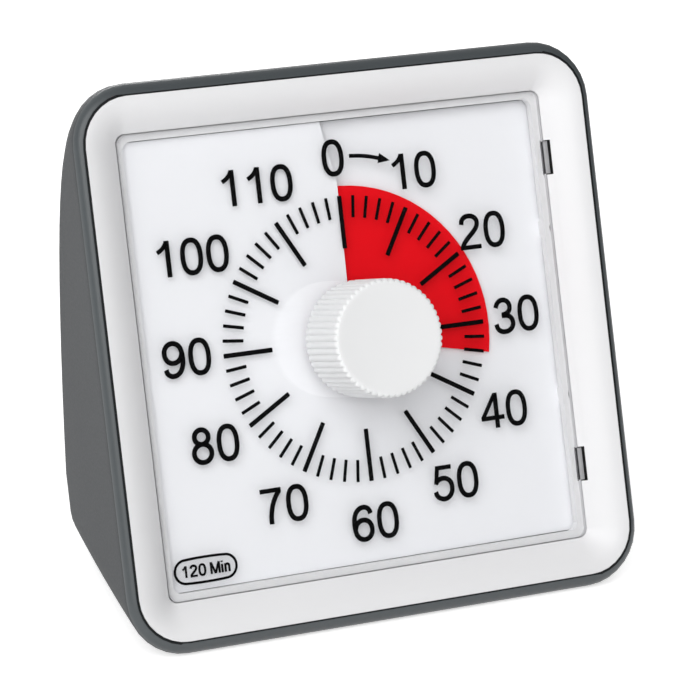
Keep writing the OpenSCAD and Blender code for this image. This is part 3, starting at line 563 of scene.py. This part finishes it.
def ink_up(name, lines, sizes):
    """Joins flat strokes, gives them the thickness of the ink and puts them under the lens."""
    piece = joined(name, lines)
    settle(piece)
    edit(piece)
    bpy.ops.mesh.select_all(action="SELECT")
    bpy.ops.mesh.remove_doubles(threshold=SAME_INK)
    bpy.ops.mesh.normals_make_consistent(inside=False)
    done()
    shell = piece.modifiers.new("Ink", "SOLIDIFY")
    shell.thickness = sizes.ink
    shell.offset = 0
    apply_all(piece)
    settle(piece, FACE @ Matrix.Translation((0, 0, -sizes.ink_gap - sizes.ink / 2)))
    colours = bpy.context.scene.timer_colours
    coat(piece, moulded("Printed ink", colours.ink, (0.5, 0.6), 4000, 0.002, 0.15, gloss=0.05))
    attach(piece, "housing")
    return piece


# Twelve times round the ring: one ten-minute tick, and two-minute ticks this many degrees after it
RING_STEPS = 12
MINOR_DEGREES = (6, 12, 18, 24)
# How much the corners of a tick are rounded, as a share of its width
TICK_ROUNDING = 0.16


class TIMER_OT_ticks(bpy.types.Operator):
    """Print the ring of ticks on the back of the lens"""
    bl_idname = "timer.ticks"
    bl_label = "Tick ring"

    def execute(self, context):
        sizes = context.scene.timer_print
        strokes = []
        for name, size, width, angles in (
                ("minor ticks", sizes.minor_length, sizes.minor_width, MINOR_DEGREES),
                ("major ticks", sizes.major_length, sizes.major_width, (0,))):
            only()
            middle = (0, sizes.ring_radius - size / 2, 0)
            bpy.ops.mesh.primitive_plane_add(size=1, location=middle)
            tick = added(name)
            tick.scale = (width, size, 1)
            settle(tick)
            edit(tick)
            bpy.ops.mesh.select_all(action="SELECT")
            bpy.ops.mesh.bevel(offset=width * TICK_ROUNDING, segments=3, affect="VERTICES")
            done()
            turns = []
            for angle in angles:
                only(tick)
                bpy.ops.object.duplicate()
                each = bpy.context.object
                each.rotation_euler = (0, 0, -math.radians(angle))
                turns.append(settle(each))
            bpy.data.objects.remove(tick)
            ring = joined(name, turns)
            edit(ring)
            bpy.ops.mesh.select_all(action="SELECT")
            bpy.ops.mesh.spin(steps=RING_STEPS, dupli=True, angle=2 * math.pi, center=(0, 0, 0),
                              axis=(0, 0, 1))
            bpy.ops.mesh.select_all(action="SELECT")
            bpy.ops.mesh.remove_doubles(threshold=SAME_POINT)
            done()
            strokes.append(ring)
        ink_up("tick_ring", strokes, sizes)
        return {"FINISHED"}


class TIMER_OT_numbers(bpy.types.Operator):
    """Print the numbers from 0 to 110 around the ticks"""
    bl_idname = "timer.numbers"
    bl_label = "Numbers"

    def execute(self, context):
        sizes = context.scene.timer_print
        numbers = lettering(NUMBER_PLACES, sizes.figure_height, sizes.figure_stroke,
                            sizes.figure_step)
        ink_up("dial_numbers", numbers, sizes)
        return {"FINISHED"}


# Arrow from 0 to 10, in millimetres from the centre of the dial: its shaft, and its head, which is
# an oblong whose front corners, those no further back than the tip is long, meet in a point
ARROW = ((2.21, 25.36), (3.6, 25.24), (5.1, 25.0), (6.3, 24.7), (7.0, 24.5))
ARROW_STROKE = 0.56
HEAD_PLACE, HEAD_LENGTH, HEAD_WIDTH = (7.5, 24.36), 1.8, 1.45
HEAD_DEGREES = -16
HEAD_TIP = 0.45

# The note and its outline, in millimetres: half the straight part, and the radius of its round
# ends, which have this many steps
NOTE, NOTE_PLACE = "120 Min", (-26.25, -28.52)
NOTE_STROKE, NOTE_STEP = 0.33, 1.27
OUTLINE_HALF, OUTLINE_RADIUS, OUTLINE_STROKE = 2.95, 1.62, 0.36
END_STEPS = 8


class TIMER_OT_marks(bpy.types.Operator):
    """Print the arrow from 0 to 10 and the small note about the dial's range"""
    bl_idname = "timer.marks"
    bl_label = "Arrow and note"

    def execute(self, context):
        sizes = context.scene.timer_print
        lines = [pen([(x * MM, y * MM) for x, y in ARROW], ARROW_STROKE * MM)]
        only()
        x, y = HEAD_PLACE
        bpy.ops.mesh.primitive_plane_add(size=1, location=(x * MM, y * MM, 0))
        head = added("arrow head")
        head.scale = (HEAD_LENGTH * MM, HEAD_WIDTH * MM, 1)
        head.rotation_euler = (0, 0, math.radians(HEAD_DEGREES))
        settle(head)
        edit(head)
        tip = max(v.co.x for v in head.data.vertices) - HEAD_TIP * MM
        pick(head, lambda v: v.co.x > tip)
        bpy.ops.mesh.merge(type="CENTER")
        done()
        lines.append(head)
        # Outline of the note: a race track with round ends
        x, y = NOTE_PLACE
        ends = []
        for side, first in ((1, -90), (-1, 90)):
            for k in range(END_STEPS + 1):
                a = math.radians(first + 180 / END_STEPS * k)
                ends.append(((x + side * OUTLINE_HALF + OUTLINE_RADIUS * math.cos(a)) * MM,
                             (y + OUTLINE_RADIUS * math.sin(a)) * MM))
        lines.append(pen(ends, OUTLINE_STROKE * MM, closed=True))
        lines += lettering({NOTE: NOTE_PLACE}, sizes.note_height, NOTE_STROKE * MM, NOTE_STEP * MM)
        ink_up("dial_marks", lines, sizes)
        return {"FINISHED"}


# ---- pieces --------------------------------------------------------------

def housing_plastic():
    colours = bpy.context.scene.timer_colours
    return moulded("Grey housing plastic", colours.housing, (0.54, 0.66), 3200, 0.012, 0.04, 25,
                   0.06)


def rim_plastic():
    colours = bpy.context.scene.timer_colours
    return moulded("Smooth grey rim plastic", colours.rim, (0.32, 0.40), 2600, 0.003, 0.03, 25, 0.5)


def painted_shade_plastic(name, base):
    """Near-black finish painted into a narrow gap or slot, as painted shade where no light falls.
    """
    return moulded(name, base, (0.5, 0.6), 3000, 0.004, 0.1, 60, 0.1)


# How far back the smooth rim reaches, and the width of the near-black ring of painted shade in the
# gap round the front frame, in millimetres
RIM_DEPTH = 1.2
RIM_GAP = 0.15
# Most that the front faces of the rim and those of the gap lie behind its crest, in millimetres
RIM_FRONT, GAP_FRONT = 0.09, 0.05


def shadow_gap(piece, crest):
    """Cuts a narrow ring into the rim beside the front frame, painted near-black as painted shade
    in the gap between the two.
    """

    def behind(point):
        return crest - (TO_FACE @ point).z

    def in_front(face):
        return face.normal.dot(FACE_OUT) > FACING

    find(piece, lambda f: in_front(f) and behind(f.calc_center_median()) < RIM_FRONT * MM,
         "faces", "the inner edge of the rim wasn't found")
    bpy.ops.mesh.inset(thickness=RIM_GAP * MM)
    find(piece, lambda f: in_front(f) and max(behind(v.co) for v in f.verts) < GAP_FRONT * MM,
         "faces", "the gap beside the frame wasn't found")
    # Painted shade: the ring is near-black because the gap between rim and frame lies in shadow
    paint(piece, painted_shade_plastic("Dark gap", (0.012, 0.013, 0.014)))


class TIMER_OT_housing(bpy.types.Operator):
    """Shell of the housing with its battery door"""
    bl_idname = "timer.housing"
    bl_label = "Housing and door"

    def execute(self, context):
        for source, name, body in (("rear_housing", "housing_shell", "housing"),
                                   ("battery_door", "door_panel", "battery_door")):
            piece = coat(copied(source, name, flat=0), housing_plastic())
            if source == "rear_housing":
                # The rim round the front frame isn't textured
                crest = max((TO_FACE @ v.co).z for v in piece.data.vertices)
                rim = crest - RIM_DEPTH * MM
                edit(piece)
                find(piece, lambda f: (TO_FACE @ f.calc_center_median()).z > rim,
                     "faces", "the rim of the housing wasn't found")
                paint(piece, rim_plastic())
                shadow_gap(piece, crest)
                done()
            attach(piece, body)
            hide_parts(source)
        return {"FINISHED"}


# Where the snap slots lie, in millimetres from the centre of the dial, and how far one wall of each
# is moved to the left
SLOT_INNER, SLOT_OUTER = 32.42, 33.4
SLOT_HEIGHT, SLOT_HALF = 22, 2.7
SLOT_FLOOR = -1.3
SLOT_WALL_SHIFT = 0.17
# Most that the normal of a slot's wall may lean out of the face, as a cosine
WALL_LEAN = 0.3


class TIMER_OT_frame(bpy.types.Operator):
    """White front frame"""
    bl_idname = "timer.frame"
    bl_label = "Front frame"

    def execute(self, context):
        colours = context.scene.timer_colours
        piece = copied("front_frame", "frame_bezel")
        coat(piece, moulded("White frame plastic", colours.frame, (0.30, 0.38), 2600, 0.004, 0.008,
                            30, 0.35))

        def in_slot(face):
            x, y, z = TO_FACE @ face.calc_center_median() / MM
            return (SLOT_INNER < x < SLOT_OUTER and z > SLOT_FLOOR
                    and abs(abs(y) - SLOT_HEIGHT) < SLOT_HALF
                    and abs(face.normal.dot(FACE_OUT)) < WALL_LEAN)

        edit(piece)
        # Painted shade: the walls of the snap slots are near-black because they lie in shadow
        find(piece, in_slot, "faces", "the snap slots of the frame weren't found")
        paint(piece, painted_shade_plastic("Dark inside of the snap slots", (0.012, 0.012, 0.013)))
        pick(piece, lambda f: in_slot(f) and f.normal.x < -FACING, "faces")
        bpy.ops.transform.translate(value=FACE_RIGHT * -SLOT_WALL_SHIFT * MM)
        done()
        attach(piece, "housing")
        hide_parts("front_frame")
        return {"FINISHED"}


# Right edge of the clear sheet, in millimetres from the centre of the dial, and how far its back is
# lifted off the ledge of the frame
LENS_EDGE = 32.2
LENS_LIFT = 0.03
# Reach of the tests for its back, for the tabs behind it and for what lies right of its edge, in
# millimetres, and most that the normal of a side may lean out of the face, as a cosine
AT_BACK, BEHIND_BACK, PAST_EDGE = 0.01, 0.05, 0.02
SIDE_LEAN = 0.5


class TIMER_OT_lens(bpy.types.Operator):
    """Clear lens over the dial"""
    bl_idname = "timer.lens"
    bl_label = "Lens"

    def execute(self, context):
        lens = coat(copied("lens", "lens_sheet", 20), clear_plastic())
        edit(lens)
        # A cut parts the tabs from the sheet, and the back of the sheet is lifted off the ledge
        bpy.ops.mesh.select_all(action="SELECT")
        bpy.ops.mesh.bisect(plane_co=FACE @ Vector((LENS_EDGE * MM, 0, 0)), plane_no=FACE_RIGHT)
        pick(lens, lambda v: abs((TO_FACE @ v.co).z) < AT_BACK * MM)
        bpy.ops.transform.translate(value=FACE_OUT * LENS_LIFT * MM)

        def ground(face):
            middle = TO_FACE @ face.calc_center_median()
            return (middle.z < -BEHIND_BACK * MM or abs(face.normal.dot(FACE_OUT)) < SIDE_LEAN
                    or middle.x > (LENS_EDGE + PAST_EDGE) * MM)

        pick(lens, ground, "faces")
        paint(lens, moulded("Ground edge of the lens", (0.88, 0.88, 0.90), (0.5, 0.6), 3000, 0.004,
                            0.02, 60, 0.2))
        done()
        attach(lens, "housing")
        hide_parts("lens")
        return {"FINISHED"}


# How far the edges of the dial sheet move out, in millimetres: under the ledge of the frame on the
# right, where the sheet lies deeper, and just to it on the other sides
PLATE_RIGHT, PLATE_LEFT, PLATE_UP, PLATE_DOWN = 0.62, 0.11, 0.11, 0.14
# How far in from its edges the points lie that move with them, in millimetres
PLATE_CORNER = 0.85


class TIMER_OT_dial(bpy.types.Operator):
    """Dial plate with its slit, and the red disc that winds out of it"""
    bl_idname = "timer.dial"
    bl_label = "Dial and disc"

    def execute(self, context):
        colours = context.scene.timer_colours
        plate = copied("dial_plate", "dial_face", 20)
        coat(plate, moulded("White dial sheet", colours.plate, (0.45, 0.55), 3000, 0.003, 0.006, 20,
                            0.4))
        # The edge of the sheet comes close to the opening of the frame
        corners = [TO_FACE @ v.co for v in plate.data.vertices]
        right = max(v.x for v in corners)
        top = max(v.y for v in corners)
        low = min(v.y for v in corners)
        edit(plate)
        for direction, edge, test in (
                (FACE_RIGHT, PLATE_RIGHT, lambda v: v.x > right - PLATE_CORNER * MM),
                (FACE_RIGHT, -PLATE_LEFT, lambda v: v.x < -right + PLATE_CORNER * MM),
                (FACE_UP, PLATE_UP, lambda v: v.y > top - PLATE_CORNER * MM),
                (FACE_UP, -PLATE_DOWN, lambda v: v.y < low + PLATE_CORNER * MM)):
            find(plate, lambda v: test(TO_FACE @ v.co), "verts",
                 "an edge of the dial plate wasn't found")
            bpy.ops.transform.translate(value=direction * edge * MM)
        done()
        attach(plate, "housing")
        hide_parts("dial_plate")
        disc = copied("red_disc", "time_disc", 20)
        coat(disc, moulded("Red disc plastic", colours.disc, (0.42, 0.52), 3000, 0.003, 0.02, 30,
                           0.1))
        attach(disc, "disc")
        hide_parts("red_disc")
        return {"FINISHED"}


# Points round the knob in each rib, and how deep those in the groove and beside it lie, as shares
# of the depth of the groove
PER_RIB = 6
GROOVE = (((0,), 1.0), ((1, 5), 0.35), ((2, 4), 0.06))
# Rings of the rounded front edge, and how far the groove has run out in the last ones
EDGE_STEPS = 5
RUN_OUT = (0.35, 0.7, 1.0)
# In millimetres: the flat border of the front, the slope inside it and its depth, the wall round
# the hollow underside and the depth of that hollow
FRONT_BORDER, FRONT_SLOPE, FRONT_HOLLOW = 0.35, 0.25, 0.04
KNOB_WALL, KNOB_HOLLOW = 0.9, 1.2
# The flat ends of the knob have more corners than this
END_CORNERS = 8


class TIMER_OT_knob(bpy.types.Operator):
    """Ribbed knob in the middle of the dial"""
    bl_idname = "timer.knob"
    bl_label = "Knob"

    def execute(self, context):
        sizes = context.scene.timer_knob
        colours = context.scene.timer_colours
        count = sizes.ribs * PER_RIB
        side = sizes.front - sizes.edge - sizes.back
        only()
        bpy.ops.mesh.primitive_cylinder_add(vertices=count, radius=sizes.radius, depth=side,
                                            location=(0, 0, sizes.back + side / 2))
        knob = added("knob_cap")
        settle(knob)

        def phase(v):
            turn = math.atan2(v.co.x, v.co.y) / (2 * math.pi) * count
            return round(turn) % PER_RIB

        edit(knob)
        # Rounded ribs: deep in the groove, a little lower beside it
        for kind, depth in GROOVE:
            pick(knob, lambda v: phase(v) in kind)
            factor = 1 - sizes.groove * depth / sizes.radius
            bpy.ops.transform.resize(value=(factor, factor, 1))
        # Rounded front edge, drawn up in rings
        last = sizes.radius
        pick(knob, lambda f: f.normal.z > FACING, "faces")
        for k in range(1, EDGE_STEPS + 1):
            a = math.pi / 2 * k / EDGE_STEPS
            radius = sizes.radius - sizes.edge * (1 - math.cos(a))
            rise = sizes.edge * (math.sin(a) - math.sin(a - math.pi / 2 / EDGE_STEPS))
            bpy.ops.mesh.extrude_region_move(TRANSFORM_OT_translate={"value": (0, 0, rise)})
            bpy.ops.transform.resize(value=(radius / last, radius / last, 1))
            last = radius
        # The front runs round: its groove points go out again
        heights = sorted({round(v.co.z, 7) for v in bmesh.from_edit_mesh(knob.data).verts})
        for height, share in zip(heights[-len(RUN_OUT):], RUN_OUT):
            for kind, depth in GROOVE:
                if pick(knob, lambda v: phase(v) in kind and abs(v.co.z - height) < SAME_POINT):
                    factor = 1 / (1 - sizes.groove * depth * share / sizes.radius)
                    bpy.ops.transform.resize(value=(factor, factor, 1))
        # Front face: a very slight hollow
        pick(knob, lambda f: f.normal.z > 0.99 and len(f.verts) > END_CORNERS, "faces")
        bpy.ops.mesh.inset(thickness=FRONT_BORDER * MM)
        bpy.ops.mesh.inset(thickness=FRONT_SLOPE * MM, depth=-FRONT_HOLLOW * MM)
        # Hollow underside round the post
        pick(knob, lambda f: f.normal.z < -FACING and len(f.verts) > END_CORNERS, "faces")
        bpy.ops.mesh.inset(thickness=KNOB_WALL * MM)
        bpy.ops.mesh.extrude_region_move(
            TRANSFORM_OT_translate={"value": (0, 0, KNOB_HOLLOW * MM)})
        bpy.ops.mesh.select_all(action="SELECT")
        bpy.ops.mesh.normals_make_consistent(inside=False)
        done()
        bpy.ops.object.shade_smooth_by_angle(angle=math.radians(32))
        settle(knob, FACE)
        coat(knob, moulded("White knob plastic", colours.knob, (0.38, 0.46), 2600, 0.004, 0.008, 60,
                           0.45))
        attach(knob, "knob")
        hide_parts("knob")
        return {"FINISHED"}


# Finishes of the works: the CAD nodes that get it, then its name, base colour, roughness, grain,
# bump, tone, drift, gloss and metal
WORKS = (
    (("shaft", "stator"),
     "Turned steel", (0.56, 0.56, 0.57), (0.22, 0.35), 9000, 0.002, 0.04, 300, 0.5, 1.0),
    (("case_screws", "chassis_screws", "movement_screws"),
     "Zinc-plated screw", (0.60, 0.60, 0.58), (0.28, 0.42), 7000, 0.002, 0.06, 500, 0.5, 1.0),
    (("crystal", "battery_spring", "battery_plate"),
     "Nickel-plated spring", (0.62, 0.60, 0.57), (0.18, 0.3), 8000, 0.002, 0.05, 300, 0.5, 1.0),
    (("clutch_washer",),
     "Spring bronze", (0.52, 0.30, 0.13), (0.25, 0.38), 8000, 0.002, 0.08, 400, 0.5, 1.0),
    (("movement_case", "switch_body"),
     "Black plastic", (0.018, 0.018, 0.02), (0.38, 0.5), 3000, 0.008, 0.15, 60),
    (("movement_cover", "centre_wheel"),
     "Natural plastic", (0.70, 0.68, 0.62), (0.35, 0.48), 2600, 0.006, 0.03, 60),
    (("chassis_plate",),
     "Grey chassis plastic", (0.30, 0.31, 0.32), (0.4, 0.52), 2600, 0.01, 0.04, 40),
    (("second_wheel",),
     "White gear plastic", (0.78, 0.78, 0.76), (0.3, 0.42), 4000, 0.003, 0.03, 200),
    (("third_wheel",),
     "Amber gear plastic", (0.55, 0.30, 0.07), (0.3, 0.42), 4000, 0.003, 0.05, 200),
    (("rotor_pinion",),
     "Red gear plastic", (0.5, 0.05, 0.04), (0.3, 0.42), 4000, 0.003, 0.05, 200),
    (("rotor_magnet",),
     "Ferrite", (0.05, 0.05, 0.055), (0.4, 0.6), 6000, 0.01, 0.2, 400, 0.5, 0.4),
    (("coil_bobbin",),
     "Green bobbin plastic", (0.03, 0.16, 0.10), (0.35, 0.5), 3000, 0.005, 0.08, 100),
    (("coil_winding",),
     "Enamelled copper", (0.60, 0.22, 0.07), (0.22, 0.36), 9000, 0.004, 0.15, 500, 0.5, 0.9),
    (("circuit_board",),
     "Solder mask", (0.015, 0.13, 0.05), (0.25, 0.4), 3500, 0.004, 0.15, 150),
    (("chip",),
     "Chip epoxy", (0.02, 0.02, 0.021), (0.5, 0.65), 5000, 0.008, 0.2, 200),
    (("buzzer",),
     "Buzzer capsule", (0.06, 0.06, 0.065), (0.4, 0.5), 3000, 0.006, 0.1, 100),
    (("battery_cell",),
     "Cell jacket", (0.04, 0.20, 0.10), (0.22, 0.34), 5000, 0.003, 0.08, 80, 0.5, 0.3),
    (("switch_slider",),
     "Slider plastic", (0.035, 0.035, 0.038), (0.35, 0.45), 3000, 0.006, 0.1, 200),
    (("power_leads",),
     "Red lead", (0.42, 0.02, 0.02), (0.35, 0.45), 5000, 0.003, 0.08, 100),
    (("buzzer_leads",),
     "Black lead", (0.02, 0.02, 0.02), (0.35, 0.45), 5000, 0.003, 0.2, 100),
    (("switch_leads",),
     "Blue lead", (0.02, 0.06, 0.30), (0.35, 0.45), 5000, 0.003, 0.1, 100),
)

# The CAD nodes behind the dressed pieces, and the finish that they share with them
SHARED = {
    "rear_housing": "Grey housing plastic",
    "battery_door": "Grey housing plastic",
    "front_frame": "White frame plastic",
    "dial_plate": "White dial sheet",
    "red_disc": "Red disc plastic",
    "knob": "White knob plastic",
    "lens": "Clear acrylic",
}


class TIMER_OT_works(bpy.types.Operator):
    """Finishes of the shaft, chassis, movement, cell and controls"""
    bl_idname = "timer.works"
    bl_label = "Works and controls"

    def execute(self, context):
        finishes = {part: bpy.data.materials[name] for part, name in SHARED.items()}
        for parts, *values in WORKS:
            finishes.update(dict.fromkeys(parts, moulded(*values)))
        for part, material in finishes.items():
            dress(part, material)
        bare = set(frame["nodes"]) - set(finishes)
        if bare:
            raise RuntimeError("no finish for " + ", ".join(sorted(bare)))
        return {"FINISHED"}


# ---- stage ---------------------------------------------------------------

# In millimetres, in the frame of the face: right, up and out from the centre of the dial
CAMERA_PLACE = (-216.69, 23.25, 480.24)
CAMERA_AIM = (-0.867, -1.484, 0)
# In degrees
CAMERA_ROLL = 0.236
# Width of the camera's sensor in millimetres, and the nearest that it sees, in metres
SENSOR_WIDTH, CLIP_START = 36, 0.02

# In metres: the floor is round, and lies a little behind the timer and a hair below it
FLOOR_RADIUS, FLOOR_PLACE = 1.6, (0, 0.2, -0.0002)
FLOOR_COLOUR, FLOOR_ROUGHNESS = (0.82, 0.82, 0.82, 1), 0.9
# What the floor adds to its own light, to look white
FLOOR_GLOW = 0.6

# Place and size of the lamps, and the point that both shine at, in metres
KEY_PLACE, KEY_SIZE = (-0.48, -0.68, 0.56), 1.00
BACK_PLACE, BACK_SIZE = (0.15, 0.90, 0.32), 0.50
LAMP_AIM = (0, 0, 0.04)

# By the y of its direction, a mirrored ray meets the dark studio in front or the white room behind
STUDIO_Y, ROOM_Y = -0.5, 1.0
# By the x of its direction, how much less light comes from the right than from straight ahead: in
# what is mirrored, and in what lights a surface
GLEAM_LOSS, SIDE_LOSS = 0.8, 0.6


def lamp(name, place, size, power):
    only()
    bpy.ops.object.light_add(type="AREA", location=place)
    made = bpy.context.object
    made.name = name
    made.data.shape = "DISK"
    made.data.size = size
    made.data.energy = power
    way = Vector(LAMP_AIM) - Vector(place)
    made.rotation_euler = way.to_track_quat("-Z", "Y").to_euler()
    return made


def white_for_the_eye(tree):
    """Is Camera Ray + Is Glossy Ray + Is Transmission Ray, held at 1."""
    path = node(tree, "ShaderNodeLightPath")
    total = maths(tree, "ADD", path.outputs["Is Camera Ray"], path.outputs["Is Glossy Ray"])
    return maths(tree, "ADD", total, path.outputs["Is Transmission Ray"], clamp=True)


def one_less(tree, value, share):
    """1 less a share of a value."""
    return maths(tree, "SUBTRACT", 1.0, maths(tree, "MULTIPLY", value, share))


def floor_finish():
    """Pale and matt, with a glow that only the eye sees, straight or in a mirror."""
    material, tree, surface = shader("Pale floor")
    surface.inputs["Base Color"].default_value = FLOOR_COLOUR
    surface.inputs["Roughness"].default_value = FLOOR_ROUGHNESS
    surface.inputs["Specular IOR Level"].default_value = 0.0
    glow = node(tree, "ShaderNodeEmission")
    total = node(tree, "ShaderNodeAddShader")
    strength = maths(tree, "MULTIPLY", white_for_the_eye(tree), FLOOR_GLOW)
    tree.links.new(strength, glow.inputs["Strength"])
    tree.links.new(surface.outputs["BSDF"], total.inputs[0])
    tree.links.new(glow.outputs["Emission"], total.inputs[1])
    tree.links.new(total.outputs[0], tree.nodes["Material Output"].inputs["Surface"])
    return material


def white_room(studio):
    """White for the eye and behind the timer, dim in front of it where the studio is dark.

    The windows of the room are on the left.
    """
    world = bpy.data.worlds.new("White room")
    world.use_nodes = True
    tree = world.node_tree
    back = tree.nodes["Background"]
    back.inputs["Color"].default_value = (1, 1, 1, 1)
    path = node(tree, "ShaderNodeLightPath")
    seen = path.outputs["Is Camera Ray"]
    way = node(tree, "ShaderNodeTexCoord")
    parts = node(tree, "ShaderNodeSeparateXYZ")
    tree.links.new(way.outputs["Generated"], parts.inputs[0])
    front = node(tree, "ShaderNodeMapRange", interpolation_type="SMOOTHSTEP")
    front.inputs["From Min"].default_value = STUDIO_Y
    front.inputs["From Max"].default_value = ROOM_Y
    front.inputs["To Min"].default_value = studio.front
    front.inputs["To Max"].default_value = 1.0
    tree.links.new(parts.outputs["Y"], front.inputs["Value"])
    # What is mirrored or seen through the lens
    bent = maths(tree, "ADD", path.outputs["Is Glossy Ray"], path.outputs["Is Transmission Ray"],
                 clamp=True)
    gleam = maths(tree, "MINIMUM", 1.0, one_less(tree, parts.outputs["X"], GLEAM_LOSS))
    gleam = maths(tree, "MULTIPLY", bent, gleam)
    mirrored = maths(tree, "MULTIPLY", gleam, front.outputs["Result"])
    eye = maths(tree, "MAXIMUM", seen, mirrored)
    # What lights a surface
    side = maths(tree, "MULTIPLY", one_less(tree, parts.outputs["X"], SIDE_LOSS), studio.room)
    other = maths(tree, "SUBTRACT", 1.0, maths(tree, "MAXIMUM", seen, bent))
    plain = maths(tree, "MULTIPLY", side, other)
    tree.links.new(maths(tree, "ADD", eye, plain), back.inputs["Strength"])
    return world


class TIMER_OT_stage(bpy.types.Operator):
    """Pale floor, soft lamps, white room and camera"""
    bl_idname = "timer.stage"
    bl_label = "Stage"

    def execute(self, context):
        studio = context.scene.timer_studio
        only()
        bpy.ops.mesh.primitive_circle_add(vertices=96, radius=FLOOR_RADIUS, fill_type="NGON",
                                          location=FLOOR_PLACE)
        floor = added("floor")
        settle(floor)
        coat(floor, floor_finish())

        context.scene.world = white_room(studio)

        key = lamp("key lamp", KEY_PLACE, KEY_SIZE, studio.key)
        lamp("back lamp", BACK_PLACE, BACK_SIZE, studio.fill)
        # The lens doesn't mirror the key lamp, which would wash out the print
        unlit = bpy.data.collections.new("Not lit by the key lamp")
        unlit.objects.link(bpy.data.objects["lens_sheet"])
        unlit.collection_objects[0].light_linking.link_state = "EXCLUDE"
        key.light_linking.receiver_collection = unlit

        place = FACE @ (Vector(CAMERA_PLACE) * MM)
        look = FACE @ (Vector(CAMERA_AIM) * MM) - place
        turn = look.to_track_quat("-Z", "Y") @ Quaternion((0, 0, 1), math.radians(CAMERA_ROLL))
        only()
        bpy.ops.object.camera_add(location=place, rotation=turn.to_euler())
        camera = bpy.context.object
        camera.name = "camera"
        camera.data.sensor_width = SENSOR_WIDTH
        camera.data.lens = studio.focal
        camera.data.clip_start = CLIP_START
        context.scene.camera = camera
        context.scene.view_settings.view_transform = "Standard"
        return {"FINISHED"}


class TIMER_PT_panel(bpy.types.Panel):
    """Buttons and sizes of the timer"""
    bl_idname = "TIMER_PT_panel"
    bl_label = "Countdown timer"
    bl_space_type = "VIEW_3D"
    bl_region_type = "UI"
    bl_category = "Timer"

    def draw(self, context):
        for operator in OPERATORS:
            self.layout.operator(operator.bl_idname)
        for group in SETTINGS:
            box = self.layout.box()
            settings = getattr(context.scene, group)
            for name in settings.__annotations__:
                box.prop(settings, name)


OPERATORS = (TIMER_OT_housing, TIMER_OT_frame, TIMER_OT_lens, TIMER_OT_dial, TIMER_OT_ticks,
             TIMER_OT_numbers, TIMER_OT_marks, TIMER_OT_knob, TIMER_OT_works, TIMER_OT_stage)
SETTINGS = {"timer_print": TimerPrint, "timer_knob": TimerKnob, "timer_colours": TimerColours,
            "timer_studio": TimerStudio}


def register():
    for name, group in SETTINGS.items():
        bpy.utils.register_class(group)
        setattr(bpy.types.Scene, name, bpy.props.PointerProperty(type=group))
    for each in OPERATORS + (TIMER_PT_panel,):
        bpy.utils.register_class(each)


def unregister():
    for each in reversed(OPERATORS + (TIMER_PT_panel,)):
        bpy.utils.unregister_class(each)
    for name, group in SETTINGS.items():
        delattr(bpy.types.Scene, name)
        bpy.utils.unregister_class(group)


def main():
    register()
    for each in OPERATORS:
        group, name = each.bl_idname.split(".")
        getattr(getattr(bpy.ops, group), name)()
    only()


if __name__ == "__main__":
    main()
